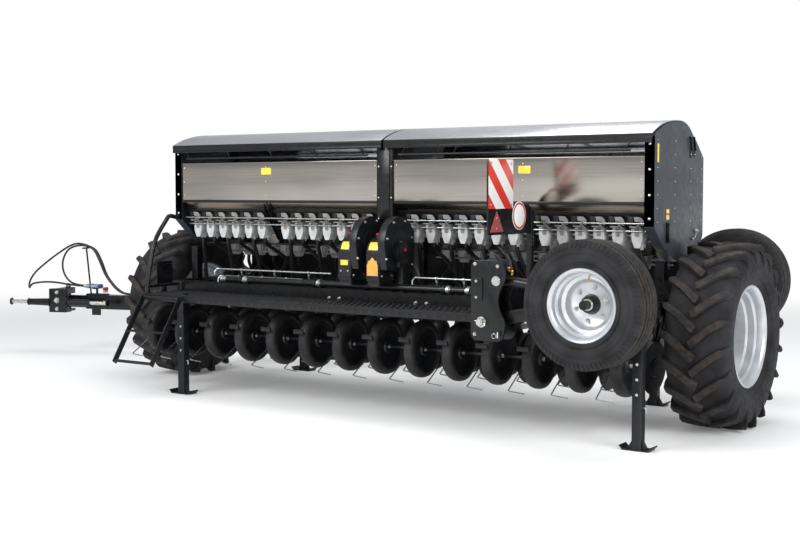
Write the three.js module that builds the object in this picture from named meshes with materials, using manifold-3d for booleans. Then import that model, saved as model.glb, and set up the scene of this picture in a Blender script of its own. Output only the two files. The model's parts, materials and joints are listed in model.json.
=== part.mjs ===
// A trailed seed drill with 27 rows: a wide hopper over a frame on two field wheels, with
// end-tow transport wheels, a swinging drawbar and four parking stands.
// Millimetres, +Z up. The hopper runs along X, the field wheels roll along Y (travel is +Y),
// and the walkway is on the -Y side. The working frame has x = 0 at the hopper's middle,
// y = 0 at the field axle and z = 0 on the ground; the group then moves to the footprint's middle.
import * as THREE from "three";
import { mergeVertices } from "three/addons/utils/BufferGeometryUtils.js";
import Module from "manifold-3d";

const wasm = await Module();
wasm.setup();

// ---------------------------------------------------------------- driving dimensions
const fit = 0.3; // gap between faces that touch
const pinFit = 0.3; // radial play of a pin in its bore
const sides = [
  ["left", -1],
  ["right", 1],
];

// Tyre across and wide, the bead seat and flange of its rim, and where the tyre runs: its gap
// beside the frame, or the distance between the pair.
const fieldWheel = { diameter: 1200, width: 420, seat: 610, flange: 660, rimWidth: 340, aside: 70 };
const roadWheel = { diameter: 760, width: 260, seat: 392, flange: 436, rimWidth: 230, track: 2500 };
const axleHeight = fieldWheel.diameter / 2;

const rowPitch = 150;
const rearRows = 14;
const frontRows = rearRows - 1;

const hopper = {
  halfLength: 2035, // outer face of the end plates
  endWidth: 70, // end plate with its flanges
  centreWidth: 140,
  wall: 5,
  frontY: -480,
  backY: 350,
  floor: 580, // grain trough over the frame's underside
  skirt: 735, // lower edge of the front panel over the frame's underside
  rim: 1020, // upper edge of the front panel over the frame's underside
};

const frame = {
  halfLength: hopper.halfLength + 5, // outer face of the side members
  bar: 100, // square tube
  above: 120, // underside over the axle
  rearY: -540, // centre of the rear bar
  frontY: 480, // centre of the front bar
  innerX: 375, // centre of the inner long members
  innerBar: 60,
  side: 60, // width of the side members
  post: 60, // hopper posts
};
const frameLow = axleHeight + frame.above;
const frameTop = frameLow + frame.bar;

const hopperFloor = frameLow + hopper.floor;
const panelLow = frameLow + hopper.skirt;
const panelTop = frameLow + hopper.rim;
const lidRise = 243; // crown of the lids over the panel's upper edge
const lidThick = 4;
const crown = panelTop + lidRise;

const meter = {
  width: 84,
  depth: 100,
  height: 122,
  y: -330,
  shaft: 22,
  pitch: 132,
  inner: 193, // first cup of the inner group
  innerCount: 7,
  outer: 1220, // first cup of the outer group
};
const fertY = 70; // the fertiliser trough's middle
const fertFloor = hopperFloor - 200;

const walkway = { left: -1910, right: 1095, front: -970, back: -600, top: 745, lip: 55, sheet: 6 };

const press = { diameter: 390, width: 80, rearY: -690, frontY: -300, height: 450, rod: 12 };
const disc = { diameter: 340, spread: 22, ahead: 400, height: 392 };
const rail = { size: 50, rearY: 20, rearZ: 650, frontY: 400, frontZ: 600 };
const arm = { thick: 12, depth: 46, gap: 13 };
const tine = { wire: 9, drop: 175, back: 310, foot: 120 };
const lift = {
  x: 975,
  linkX: 1035,
  travel: 200,
  rod: 16,
  barrel: 33,
  y: frame.frontY - frame.bar / 2 - 42, // just behind the front bar
};

// Transport gear: plates either side of the arm and ram, seen on the walkway side.
const gear = { outerY: -1150, innerY: -1000, plate: 20, pivotX: 1186, pivotZ: 717, ramX: 1291, ramZ: 975 };
const road = { hubX: 1960, hubZ: 870, armY: -1075, armThick: 60, armDepth: 80, pin: 20, stub: 28 };
const ram = { eyeReach: 607, eyeTurn: 19.75, barrel: 34, rod: 18, lug: 20, cheek: 12, play: 0.5 };

const draw = {
  pivotY: 1483,
  hitchX: -4230,
  hitchY: 330,
  low: 420,
  high: 550,
  width: 120,
  pin: 30,
  tongue: 70,
};
const hitch = {
  half: 500,
  turn: 20, // degrees
  ahead: 180,
  block: 180,
  deep: 60,
  low: 391,
  high: 614,
  pin: 25,
  spool: 28,
};

const stand = { tube: 60, sleeve: 7, play: 0.5, plate: 10, footLong: 170, footWide: 100, top: 760 };
const sleeveHalf = stand.tube / 2 + stand.sleeve;
const stands = [
  ["stand_rear_right", frame.halfLength + 118, -989],
  ["stand_rear_left", -1548, -925], // between two rows of coulters
  ["stand_front_right", 1614, frame.frontY + frame.bar / 2 + sleeveHalf - 1],
  ["stand_front_left", -1563, frame.frontY + frame.bar / 2 + sleeveHalf - 1],
];

// ---------------------------------------------------------------- finishes
function finish(color, roughness, metalness) {
  return new THREE.MeshStandardMaterial({ color, roughness, metalness });
}
const blackPaint = finish("#15171a", 0.42, 0.1);
const greyPaint = finish("#4a5058", 0.45, 0.1);
const stainless = finish("#9a9ba0", 0.22, 1);
const zinc = finish("#b9bcc0", 0.35, 1);
const rubber = finish("#1d1e20", 0.85, 0);
const silverPaint = finish("#c3c6ca", 0.35, 0.6);
const greyPlastic = finish("#a9acb2", 0.5, 0);
const redWhite = finish("#d8d2d0", 0.5, 0);
const blackPlastic = finish("#1a1b1d", 0.6, 0);
const chrome = finish("#d5d8dc", 0.12, 1);

// ---------------------------------------------------------------- making and joining solids
// A closed three.js geometry as a manifold solid.
function solid(geometry, matrix = new THREE.Matrix4()) {
  const source = geometry.index ? geometry.toNonIndexed() : geometry;
  const bare = new THREE.BufferGeometry();
  bare.setAttribute("position", source.getAttribute("position").clone());
  const merged = mergeVertices(bare.applyMatrix4(matrix), 1e-3);
  return new wasm.Manifold(
    new wasm.Mesh({
      numProp: 3,
      vertProperties: merged.attributes.position.array,
      triVerts: new Uint32Array(merged.index.array),
    }),
  );
}

// The radius at the corners of a faceted hole that clears a round pin.
const bored = (radius, segments = 12) => (radius + pinFit) / Math.cos(Math.PI / segments);

const join = (...pieces) => pieces.flat().reduce((whole, piece) => whole.add(piece));
const cut = (whole, ...tools) => tools.flat().reduce((rest, tool) => rest.subtract(tool), whole);

// A box from its low and high limits along each axis.
function block([x0, x1], [y0, y1], [z0, z1]) {
  const place = new THREE.Matrix4().makeTranslation((x0 + x1) / 2, (y0 + y1) / 2, (z0 + z1) / 2);
  return solid(new THREE.BoxGeometry(x1 - x0, y1 - y0, z1 - z0), place);
}

// The frame of a bar that runs from one point to another, with its local Z kept upright.
function alongLine(from, to) {
  const start = new THREE.Vector3(...from);
  const end = new THREE.Vector3(...to);
  const run = end.clone().sub(start);
  const forward = run.clone().normalize();
  const up = Math.abs(forward.z) > 0.99 ? new THREE.Vector3(1, 0, 0) : new THREE.Vector3(0, 0, 1);
  const side = new THREE.Vector3().crossVectors(forward, up).normalize();
  const top = new THREE.Vector3().crossVectors(side, forward);
  const place = new THREE.Matrix4().makeBasis(side, forward, top);
  place.setPosition(start.add(end).multiplyScalar(0.5));
  return { place, length: run.length() };
}

function rod(from, to, radius, segments = 12) {
  const { place, length } = alongLine(from, to);
  return solid(new THREE.CylinderGeometry(radius, radius, length, segments), place);
}

function cone(from, to, startRadius, endRadius, segments = 12) {
  const { place, length } = alongLine(from, to);
  return solid(new THREE.CylinderGeometry(endRadius, startRadius, length, segments), place);
}

function beam(from, to, width, height) {
  const { place, length } = alongLine(from, to);
  return solid(new THREE.BoxGeometry(width, length, height), place);
}

// A shape from points, or from a THREE.Shape that is passed on.
function outline(points) {
  return Array.isArray(points) ? new THREE.Shape(points.map(([a, b]) => new THREE.Vector2(a, b))) : points;
}

// Extrusions of a flat outline along each axis: its two numbers are the other two axes in order.
const AXES = {
  x: [new THREE.Vector3(0, 1, 0), new THREE.Vector3(0, 0, 1), new THREE.Vector3(1, 0, 0)],
  y: [new THREE.Vector3(1, 0, 0), new THREE.Vector3(0, 0, 1), new THREE.Vector3(0, -1, 0)],
  z: [new THREE.Vector3(1, 0, 0), new THREE.Vector3(0, 1, 0), new THREE.Vector3(0, 0, 1)],
};
function extrude(axis, shape, from, to, curveSegments = 8) {
  const [a, b, c] = AXES[axis];
  const place = new THREE.Matrix4().makeBasis(a, b, c);
  place.setPosition(c.clone().multiplyScalar(axis === "y" ? -to : from));
  const geometry = new THREE.ExtrudeGeometry(outline(shape), {
    depth: to - from,
    bevelEnabled: false,
    curveSegments,
  });
  return solid(geometry, place);
}

// A closed profile of [distance along the axis, radius] turned round X, Y or Z through a centre.
function turned(axis, profile, [x, y, z], segments) {
  const area = profile.reduce((sum, [a, r], i) => {
    const [b, s] = profile[(i + 1) % profile.length];
    return sum + a * s - b * r;
  }, 0);
  const ordered = area < 0 ? profile : [...profile].reverse();
  const onAxis = ordered.some(([, r]) => r === 0);
  if (!onAxis) ordered.push(ordered[0]);
  while (onAxis && !(ordered[0][1] === 0 && ordered[ordered.length - 1][1] === 0)) {
    ordered.push(ordered.shift());
  }
  const points = ordered.map(([a, r]) => new THREE.Vector2(r, a));
  const place = new THREE.Matrix4();
  if (axis === "x") place.makeRotationZ(-Math.PI / 2);
  if (axis === "z") place.makeRotationX(Math.PI / 2);
  place.setPosition(x, y, z);
  return solid(new THREE.LatheGeometry(points, segments), place);
}

// A round tube's or hose's outside along smooth points.
function pipe(points, radius, { segments = 8, steps = 24, tension = 0.5 } = {}) {
  const path = new THREE.CatmullRomCurve3(
    points.map((point) => new THREE.Vector3(...point)),
    false,
    "catmullrom",
    tension,
  );
  const ring = Array.from({ length: segments }, (_, i) => {
    const turn = (2 * Math.PI * i) / segments;
    return [radius * Math.cos(turn), radius * Math.sin(turn)];
  });
  return solid(new THREE.ExtrudeGeometry(outline(ring), { steps, bevelEnabled: false, extrudePath: path }));
}

const drill = new THREE.Group();

// Adds one sub-part as a named mesh.
function part(name, body, material, at = [0, 0, 0]) {
  const { vertProperties, triVerts, numProp } = body.getMesh();
  const positions = new Float32Array((vertProperties.length / numProp) * 3);
  for (let i = 0; i < positions.length / 3; i += 1) {
    positions.set(vertProperties.subarray(i * numProp, i * numProp + 3), i * 3);
  }
  const geometry = new THREE.BufferGeometry();
  geometry.setAttribute("position", new THREE.BufferAttribute(positions, 3));
  geometry.setIndex(new THREE.BufferAttribute(triVerts, 1));
  geometry.computeVertexNormals();
  const mesh = new THREE.Mesh(geometry, material);
  mesh.name = name;
  mesh.position.set(...at);
  drill.add(mesh);
  return mesh;
}

// ---------------------------------------------------------------- frame
function mainFrame() {
  const half = frame.bar / 2;
  const level = [frameLow, frameTop];
  const long = [frame.rearY - half, frame.frontY + half];
  const bars = [frame.rearY, frame.frontY].map((y) =>
    block([-frame.halfLength, frame.halfLength], [y - half, y + half], level),
  );
  const sideMembers = sides.map(([, s]) => {
    const ends = [s * frame.halfLength, s * (frame.halfLength - frame.side)].sort((a, b) => a - b);
    return block(ends, long, level);
  });
  const innerMembers = sides.map(([, s]) => {
    const x = s * frame.innerX;
    const half = frame.innerBar / 2;
    return block([x - half, x + half], long, [frameTop - frame.innerBar, frameTop]);
  });
  const postX = hopper.halfLength - hopper.endWidth / 2;
  const posts = sides.flatMap(([, s]) =>
    [frame.rearY + 260, frame.frontY - 260].map((y) =>
      block(
        [s * postX - frame.post / 2, s * postX + frame.post / 2],
        [y - frame.post / 2, y + frame.post / 2],
        [frameTop - 1, fertFloor - 20],
      ),
    ),
  );
  const centre = [
    block([-50, 50], long, [frameTop - frame.innerBar, frameTop]),
    block([-50, 50], [-60, 0], [frameTop - 1, fertFloor + 60]),
  ];
  // sockets for three of the parking stands, with what holds them to the frame
  const [, standX, standY] = stands[0];
  const sideInner = frame.halfLength - frame.side;
  const outrigger = [
    block([sideInner, frame.halfLength], [standY - 30, long[0] + 1], [frameTop - 80, frameTop]),
    block([sideInner, standX - sleeveHalf + 3], [standY - 30, standY + 30], [frameTop - 80, frameTop]),
  ];
  const sockets = [stands[0], stands[2], stands[3]].map(([, x, y]) => socket(x, y, frameLow - 80, frameTop));
  return join(bars, sideMembers, innerMembers, posts, centre, outrigger, sockets);
}

// A square socket for a parking stand.
function socket(x, y, low, high) {
  const half = sleeveHalf;
  const inner = stand.tube / 2 + stand.play;
  return cut(
    block([x - half, x + half], [y - half, y + half], [low, high]),
    block([x - inner, x + inner], [y - inner, y + inner], [low - 1, high + 1]),
  );
}

part("main_frame", mainFrame(), blackPaint);

// Plate and stub axle that carry a field wheel at each end of the frame.
const wheelX = frame.halfLength + fieldWheel.aside + fieldWheel.width / 2;
const stubRadius = 32;
const discX = 80; // field rim's disc, inboard of the wheel's middle
function wheelCarrier(s) {
  const inner = frame.halfLength + fit;
  const plate = new THREE.Shape();
  plate.moveTo(-330, frameTop);
  plate.lineTo(-330, frameLow + 20);
  plate.quadraticCurveTo(-230, frameLow, -120, axleHeight);
  plate.absarc(0, axleHeight, 120, Math.PI, 2 * Math.PI, false);
  plate.quadraticCurveTo(230, frameLow, 330, frameLow + 20);
  plate.lineTo(330, frameTop);
  const side = extrude("x", plate, inner, inner + 25, 6);
  const stub = rod([inner + 20, 0, axleHeight], [wheelX - discX + 30, 0, axleHeight], stubRadius, 16);
  const collar = rod([inner + 20, 0, axleHeight], [inner + 60, 0, axleHeight], 70, 16);
  const whole = join(side, stub, collar);
  return s > 0 ? whole : whole.mirror([1, 0, 0]);
}
for (const [side, s] of sides) part(`wheel_carrier_${side}`, wheelCarrier(s), blackPaint);

// ---------------------------------------------------------------- wheels
// A tyre and a rim about their own centre, with the dished side towards +axis.
function tyre(axis, { diameter, width, seat, flange, rimWidth }, segments) {
  const w = width / 2;
  const r = diameter / 2;
  const bead = rimWidth / 2 - 8;
  const over = (radius) => (radius + fit) / Math.cos(Math.PI / segments);
  const profile = [
    [bead, over(seat / 2)],
    [bead, over(flange / 2)],
    [w, flange / 2 + (r - flange / 2) * 0.4],
    [w * 0.97, r - (r - flange / 2) * 0.18],
    [w * 0.72, r],
  ];
  const mirrored = profile.map(([a, radius]) => [-a, radius]).reverse();
  return turned(axis, [...profile, ...mirrored], [0, 0, 0], segments);
}

function rim(axis, { seat, flange, rimWidth }, bore, discAt, segments) {
  const w = rimWidth / 2;
  const r = seat / 2;
  const lip = flange / 2;
  const barrel = turned(
    axis,
    [
      [-w, lip],
      [-w + 7.5, lip],
      [-w + 7.5, r],
      [w - 7.5, r],
      [w - 7.5, lip],
      [w, lip],
      [w, r - 10],
      [-w, r - 10],
    ],
    [0, 0, 0],
    segments,
  );
  const face = turned(
    axis,
    [
      [discAt - 30, bore],
      [discAt - 30, bore + 45],
      [discAt + 10, r - 5],
      [discAt + 22, r - 5],
      [discAt + 6, bore + 60],
      [discAt + 6, bore],
    ],
    [0, 0, 0],
    segments,
  );
  return join(barrel, face);
}

for (const [side, s] of sides) {
  const at = [s * wheelX, 0, axleHeight];
  const tyreBody = tyre("x", fieldWheel, 24);
  const rimBody = rim("x", fieldWheel, bored(stubRadius, 16), -discX, 16);
  part(`field_tyre_${side}`, tyreBody, rubber, at);
  part(`field_rim_${side}`, s > 0 ? rimBody : rimBody.mirror([1, 0, 0]), silverPaint, at);
}

// ---------------------------------------------------------------- hopper
// Side view of the hopper's outside: grain trough in front, fertiliser trough behind it.
function hopperOutline(inset) {
  const t = inset;
  return [
    [hopper.frontY + t, panelTop],
    [hopper.frontY + t, panelLow - t * 0.2],
    [meter.y - 55 + t * 0.8, hopperFloor + t],
    [meter.y + 55 - t * 0.8, hopperFloor + t],
    [-150, hopperFloor + 150 + t * 1.3],
    [fertY - 60 + t, fertFloor + t],
    [fertY + 60 - t, fertFloor + t],
    [hopper.backY - t, panelLow - 20 - t * 0.2],
    [hopper.backY - t, panelTop],
  ];
}
const lidHingeY = 185;
const lidHingeZ = crown - 95;
const lidSpan = [hopper.centreWidth / 2 - 60, hopper.halfLength - 8];
const knuckle = { radius: 12, half: 40, ear: 6 };
const knucklePlaces = [0.12, 0.5, 0.88].map((share) => lidSpan[0] + (lidSpan[1] - lidSpan[0]) * share);

// Ears on both sides of each lid knuckle, standing on the hopper's rear shoulder.
function hingeEars() {
  const ear = [
    [lidHingeY - 8, lidHingeZ - 14],
    [lidHingeY + 26, lidHingeZ - 36],
    [lidHingeY + 34, lidHingeZ - 26],
    [lidHingeY + 10, lidHingeZ + 8],
    [lidHingeY - 8, lidHingeZ + 8],
  ];
  const near = knuckle.half + fit;
  return knucklePlaces.flatMap((x) => [
    extrude("x", ear, x + near, x + near + knuckle.ear),
    extrude("x", ear, x - near - knuckle.ear, x - near),
  ]);
}
for (const [side, s] of sides) {
  const low = hopper.centreWidth / 2 + fit;
  const high = hopper.halfLength - hopper.endWidth - fit;
  const skin = extrude("x", hopperOutline(0), low, high);
  const grain = extrude("x", hopperOutline(hopper.wall), low + hopper.wall, high - hopper.wall);
  const mouth = block(
    [low + hopper.wall, high - hopper.wall],
    [hopper.frontY + hopper.wall, hopper.backY - hopper.wall],
    [panelTop - 1, panelTop + 1],
  );
  const shoulder = extrude(
    "x",
    [
      [hopper.backY - 12, panelTop - 8],
      [hopper.backY, panelTop - 8],
      [hopper.backY, panelTop + 10],
      [lidHingeY + 32, lidHingeZ - 26],
      [lidHingeY + 26, lidHingeZ - 36],
      [hopper.backY - 12, panelTop],
    ],
    low,
    high,
  );
  const body = join(cut(skin, grain, mouth), shoulder, hingeEars());
  part(`hopper_${side}`, s > 0 ? body : body.mirror([1, 0, 0]), stainless);
}

// Side view of what stands under the lids: the end plates and the centre post.
function plateShape(drop, low = fertFloor - 20 + fit) {
  const shape = new THREE.Shape();
  shape.moveTo(-150, low);
  shape.lineTo(fertY + 190, low);
  shape.lineTo(hopper.backY, low + 150);
  shape.lineTo(hopper.backY, panelTop + 10);
  shape.lineTo(lidHingeY + 30, lidHingeZ - 30);
  shape.lineTo(lidHingeY - 20, lidHingeZ + 10 - drop);
  shape.quadraticCurveTo(60, crown - drop, -60, crown - drop);
  shape.quadraticCurveTo(-300, crown - drop, hopper.frontY, panelTop + 150 - drop);
  shape.lineTo(hopper.frontY - 8, panelTop + 140 - drop);
  shape.lineTo(hopper.frontY - 8, panelLow - 157);
  shape.lineTo(-350, panelLow - 157 - 120);
  return shape;
}
const lidGap = lidThick + 6;
for (const [side, s] of sides) {
  const outer = hopper.halfLength;
  const inner = outer - hopper.endWidth;
  const whole = extrude("x", plateShape(lidGap), inner, outer, 5);
  const hollow = block([inner - 1, outer - 8], [hopper.frontY + 8, hopper.backY - 8], [0, crown + 10]);
  const foot = extrude("x", plateShape(lidGap), inner + 10, outer, 5).intersect(
    block([inner, outer], [-400, hopper.backY], [0, fertFloor]),
  );
  const top = cut(
    extrude("x", plateShape(lidGap), inner, outer, 5),
    extrude("x", plateShape(lidGap + 14), inner - 1, outer + 1, 5),
  );
  const body = join(cut(whole, hollow), foot, top);
  part(`end_plate_${side}`, s > 0 ? body : body.mirror([1, 0, 0]), greyPaint);
}
function centrePost() {
  const half = hopper.centreWidth / 2;
  const low = fertFloor + 60 + fit;
  const whole = extrude("x", plateShape(lidGap, low), -half, half, 5);
  const hollow = extrude("x", plateShape(lidGap + 8, low - 200), -half + 6, half - 6, 5).intersect(
    block([-half, half], [hopper.frontY, hopper.backY - 8], [0, crown]),
  );
  return cut(whole, hollow);
}
part("centre_post", centrePost(), blackPaint);

// Lids with a front lip, hinged along their rear edge.
const lidFront = hopper.frontY - 42;
function lid() {
  const [low, high] = lidSpan;
  const outerShape = (t) => {
    const shape = new THREE.Shape();
    shape.moveTo(lidHingeY - 22, lidHingeZ + 18 - t);
    shape.quadraticCurveTo(80, crown - t, -60, crown - t);
    shape.quadraticCurveTo(-330, crown - t, lidFront, panelTop + 145 - t);
    shape.lineTo(lidFront - 60, panelTop - 800);
    shape.lineTo(lidHingeY - 22, panelTop - 800);
    return shape;
  };
  const outside = extrude("x", outerShape(0), low, high, 6);
  const inside = extrude("x", outerShape(lidThick), low - 1, high + 1, 6);
  const reach = block([low - 1, high + 1], [lidFront + 2, lidHingeY], [panelTop, crown + 10]);
  const sheet = cut(outside, inside).intersect(reach);
  const lip = block([low, high], [lidFront, lidFront + 6], [panelTop + 88, panelTop + 144]);
  const knuckles = knucklePlaces.flatMap((x) => [
    rod([x - knuckle.half, lidHingeY, lidHingeZ], [x + knuckle.half, lidHingeY, lidHingeZ], knuckle.radius),
    beam([x, lidHingeY, lidHingeZ + 2], [x, lidHingeY - 30, lidHingeZ + 18], 60, 6),
  ]);
  return join(sheet, lip, knuckles);
}
function lidRail() {
  const from = hopper.centreWidth / 2 + 60;
  const to = hopper.halfLength - 150;
  const z = panelTop + 42;
  const y = lidFront + 8;
  const top = panelTop + 88 - 1.6;
  const bar = rod([from, y, z], [to, y, z], 8, 8);
  const drops = [0.02, 0.26, 0.5, 0.74, 0.98].map((share) => {
    const x = from + (to - from) * share;
    return beam([x, y, z], [x + 26, y, top], 16, 5);
  });
  return join(bar, drops);
}
for (const [side, s] of sides) {
  const mirror = (body) => (s > 0 ? body : body.mirror([1, 0, 0]));
  part(`lid_${side}`, mirror(lid()), stainless);
  part(`lid_rail_${side}`, mirror(lidRail()), blackPaint);
}

// ---------------------------------------------------------------- metering
// Places of the metering cups on one side: an inner group and an outer one. Each feeds one row.
const cupPlaces = [
  ...Array.from({ length: meter.innerCount }, (_, i) => meter.inner + i * meter.pitch),
  ...Array.from({ length: frontRows - meter.innerCount }, (_, i) => meter.outer + i * meter.pitch),
];

// One side's metering cups on their shaft: each narrows towards its outlet.
function meters(y, top, height, width, depth) {
  const half = depth / 2;
  const cup = [
    [y - half, top],
    [y - half, top - height * 0.55],
    [y - half / 2, top - height],
    [y + half / 2, top - height],
    [y + half, top - height * 0.55],
    [y + half, top],
  ];
  const cups = cupPlaces.map((x) => extrude("x", cup, x - width / 2, x + width / 2));
  const shaft = beam(
    [meter.inner - 70, y, top - 32],
    [hopper.halfLength - hopper.endWidth, y, top - 32],
    meter.shaft,
    meter.shaft,
  );
  return join(cups, shaft);
}

// Tubes that lead seed down to the coulters, held by one comb bar on each side.
const rowX = (count) => Array.from({ length: count }, (_, i) => (i - (count - 1) / 2) * rowPitch * 2);
const tubeRadius = 15;
function seedTubes() {
  const top = hopperFloor - meter.height - 2 * fit;
  const comb = top - 60;
  const tube = (x, start, lowY) =>
    pipe(
      [
        [start, meter.y, top],
        [start, meter.y, comb],
        [(start + x) / 2, (meter.y + lowY) / 2, (comb + rail.rearZ) / 2 + 90],
        [x, lowY, rail.rearZ + 60],
        [x, lowY, rail.rearZ - 10],
      ],
      tubeRadius,
      { segments: 5, steps: 5 },
    );
  const tubes = cupPlaces.map((start, i) => {
    const rank = i % 2 === 0 ? press.rearY : press.frontY;
    return tube((i + 1) * rowPitch, start, rank + disc.ahead + 70);
  });
  const ends = [cupPlaces[0] - 30, cupPlaces[cupPlaces.length - 1] + 30];
  const bar = block(ends, [meter.y - 10, meter.y + 60], [comb - 6, comb + 6]);
  return join(tubes, bar);
}
for (const [side, s] of sides) {
  const mirror = (body) => (s > 0 ? body : body.mirror([1, 0, 0]));
  const seed = meters(meter.y, hopperFloor - fit, meter.height, meter.width, meter.depth);
  part(`seed_meters_${side}`, mirror(seed), greyPlastic);
  part(`fertiliser_meters_${side}`, mirror(meters(fertY, fertFloor - fit, 90, 80, 90)), greyPlastic);
  part(`seed_tubes_${side}`, mirror(seedTubes()), blackPlastic);
}

// ---------------------------------------------------------------- coulters
// One row: an arm plate from the rail past the double disc to the press wheel, where a saddle
// sits over the wheels' axle. The disc pair is one lens here, and a wire tine trails behind.
function coulter(x, pressY, railY, railZ) {
  const discY = pressY + disc.ahead;
  const armX = x - press.width / 2 - arm.gap - arm.thick / 2;
  const edge = arm.depth / 2 + 4;
  const seat = press.rod + pinFit;
  const half = arm.depth / 2;
  const plate = [
    [railY - 10, railZ + half],
    [discY, disc.height + half + 10],
    [pressY - edge, press.height + edge],
    [pressY - edge, press.height - edge],
    [pressY - seat, press.height - edge],
    [pressY - seat, press.height + seat],
    [pressY + seat, press.height + seat],
    [pressY + seat, press.height - edge],
    [discY, disc.height - half],
    [railY - 10, railZ - half],
  ];
  const lens = [
    [-disc.spread, 0],
    [0, disc.diameter / 2],
    [disc.spread, 0],
  ];
  const heel = [armX, pressY - edge + 8, press.height];
  const tip = [armX, pressY - tine.back, press.height - tine.drop];
  return join(
    extrude("x", plate, armX - arm.thick / 2, armX + arm.thick / 2),
    block([armX, x - 1], [discY - 14, discY + 14], [disc.height - 14, disc.height + 14]),
    turned("x", lens, [x, discY, disc.height], 12),
    beam(heel, tip, tine.wire, tine.wire),
    beam(tip, [tip[0] + tine.foot, tip[1] - 14, tip[2] - 8], tine.wire, tine.wire),
  );
}
const railHalf = rail.size / 2;
const railBar = (y, z) =>
  block([-railEnd, railEnd], [y - railHalf, y + railHalf], [z - railHalf, z + railHalf]);
const railEnd = rowX(rearRows)[rearRows - 1] + press.width / 2 + arm.gap + arm.thick + 8;
function rearCoulters() {
  const bar = railBar(rail.rearY, rail.rearZ);
  const links = sides.map(([, s]) =>
    block(
      [s * lift.linkX - 15, s * lift.linkX + 15],
      [rail.rearY + railHalf - 1, rail.frontY - railHalf - fit],
      [rail.frontZ + 5, rail.rearZ - 5],
    ),
  );
  const rows = rowX(rearRows).map((x) => coulter(x, press.rearY, rail.rearY, rail.rearZ));
  // the front rank's axle passes through the rear discs
  const passage = block(
    [-railEnd, railEnd],
    [press.frontY - 20, press.frontY + 20],
    [press.height - 20, press.height + 20],
  );
  return join(bar, links, cut(join(rows), passage));
}
function frontCoulters() {
  const bar = railBar(rail.frontY, rail.frontZ);
  const top = rail.frontZ + railHalf;
  const rows = rowX(frontRows).map((x) => coulter(x, press.frontY, rail.frontY, rail.frontZ));
  const rods = sides.map(([, s]) =>
    rod([s * lift.x, lift.y, top - 2], [s * lift.x, lift.y, top + lift.travel + 50], lift.rod),
  );
  return join(bar, rows, rods);
}
part("coulters_rear", rearCoulters(), blackPaint);
part("coulters_front", frontCoulters(), blackPaint);

// A rank of press wheels on one axle.
function pressWheels(count) {
  const r = press.diameter / 2;
  const w = press.width / 2;
  const places = rowX(count);
  const wheels = places.map((x) =>
    turned("x", [[-w, 0], [-w, r], [w, r], [w, 0]], [x, 0, 0], 12),
  );
  return join(wheels, rod([places[0] - 80, 0, 0], [places[count - 1] + 20, 0, 0], press.rod, 6));
}
part("press_wheels_rear", pressWheels(rearRows), rubber, [0, press.rearY, press.height]);
part("press_wheels_front", pressWheels(frontRows), rubber, [0, press.frontY, press.height]);

// Lift cylinders on the front bar: the coulters' rods slide in them.
for (const [side, s] of sides) {
  const x = s * lift.x;
  const low = rail.frontZ + railHalf + 15;
  const high = low + lift.travel + 60;
  const barrel = rod([x, lift.y, low], [x, lift.y, high], lift.barrel, 16);
  const bore = rod([x, lift.y, low - 1], [x, lift.y, high - 12], bored(lift.rod), 12);
  const face = frame.frontY - frame.bar / 2 - fit;
  const lug = block([x - 28, x + 28], [lift.y + lift.rod + 6, face], [frameLow + 15, frameTop - 15]);
  part(`lift_cylinder_${side}`, cut(join(barrel, lug), bore), blackPaint);
}

// ---------------------------------------------------------------- walkway, ladder, handrail
const lipLow = walkway.top - walkway.lip;
const ladder = {
  left: -1895,
  right: -1515,
  hingeY: -992,
  hingeZ: 724,
  footY: -1300,
  footZ: 250,
  flat: 45,
  thick: 8,
};
function walkwayBody() {
  const t = walkway.sheet;
  const tray = extrude(
    "x",
    [
      [walkway.front, lipLow],
      [walkway.front + t, lipLow],
      [walkway.front + t, walkway.top - t],
      [walkway.back - t, walkway.top - t],
      [walkway.back - t, lipLow],
      [walkway.back, lipLow],
      [walkway.back, walkway.top],
      [walkway.front, walkway.top],
    ],
    walkway.left,
    walkway.right,
  );
  const barFace = frame.rearY - frame.bar / 2 - fit;
  const lugs = [-1800, -900, 0, 900].map((x) =>
    block([x - 40, x + 40], [walkway.back - 3, barFace], [frameLow + 2, walkway.top]),
  );
  const ribs = [-1200, -400, 400].map((x) =>
    block([x - 4, x + 4], [walkway.front + 1, walkway.back - 1], [walkway.top - 40, walkway.top - 1]),
  );
  const [, x, y] = stands[1];
  const half = sleeveHalf;
  const inner = stand.tube / 2 + stand.play;
  const hole = block([x - inner, x + inner], [y - inner, y + inner], [0, walkway.top + 1]);
  const sleeve = block([x - half, x + half], [y - half, y + half], [frameLow - 100, walkway.top - 1]);
  const face = ladder.thick / 2 + fit;
  const ears = [
    [ladder.left - face - 6, ladder.left - face],
    [ladder.right + face, ladder.right + face + 6],
  ].map((span) =>
    block(span, [ladder.hingeY - 12, walkway.front + 1], [ladder.hingeZ - 14, ladder.hingeZ + 14]),
  );
  return cut(join(tray, lugs, ribs, sleeve, ears), hole);
}
part("walkway", walkwayBody(), blackPaint);

function ladderBody() {
  const at = (share) => [
    ladder.hingeY + (ladder.footY - ladder.hingeY) * share,
    ladder.hingeZ + (ladder.footZ - ladder.hingeZ) * share,
  ];
  const stiles = [ladder.left, ladder.right].map((x) =>
    beam([x, ...at(0)], [x, ...at(1)], ladder.thick, ladder.flat),
  );
  const tread = (share) => {
    const [y, z] = at(share);
    return block([ladder.left, ladder.right], [y - 35, y + 35], [z - 4, z + 4]);
  };
  const bottom = rod([ladder.left, ...at(0.97)], [ladder.right, ...at(0.97)], 12, 8);
  const pin = rod([ladder.left - 4, ...at(0)], [ladder.right + 4, ...at(0)], 8, 8);
  return join(stiles, tread(0.52), bottom, pin);
}
part("ladder", ladderBody(), blackPaint);

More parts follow.
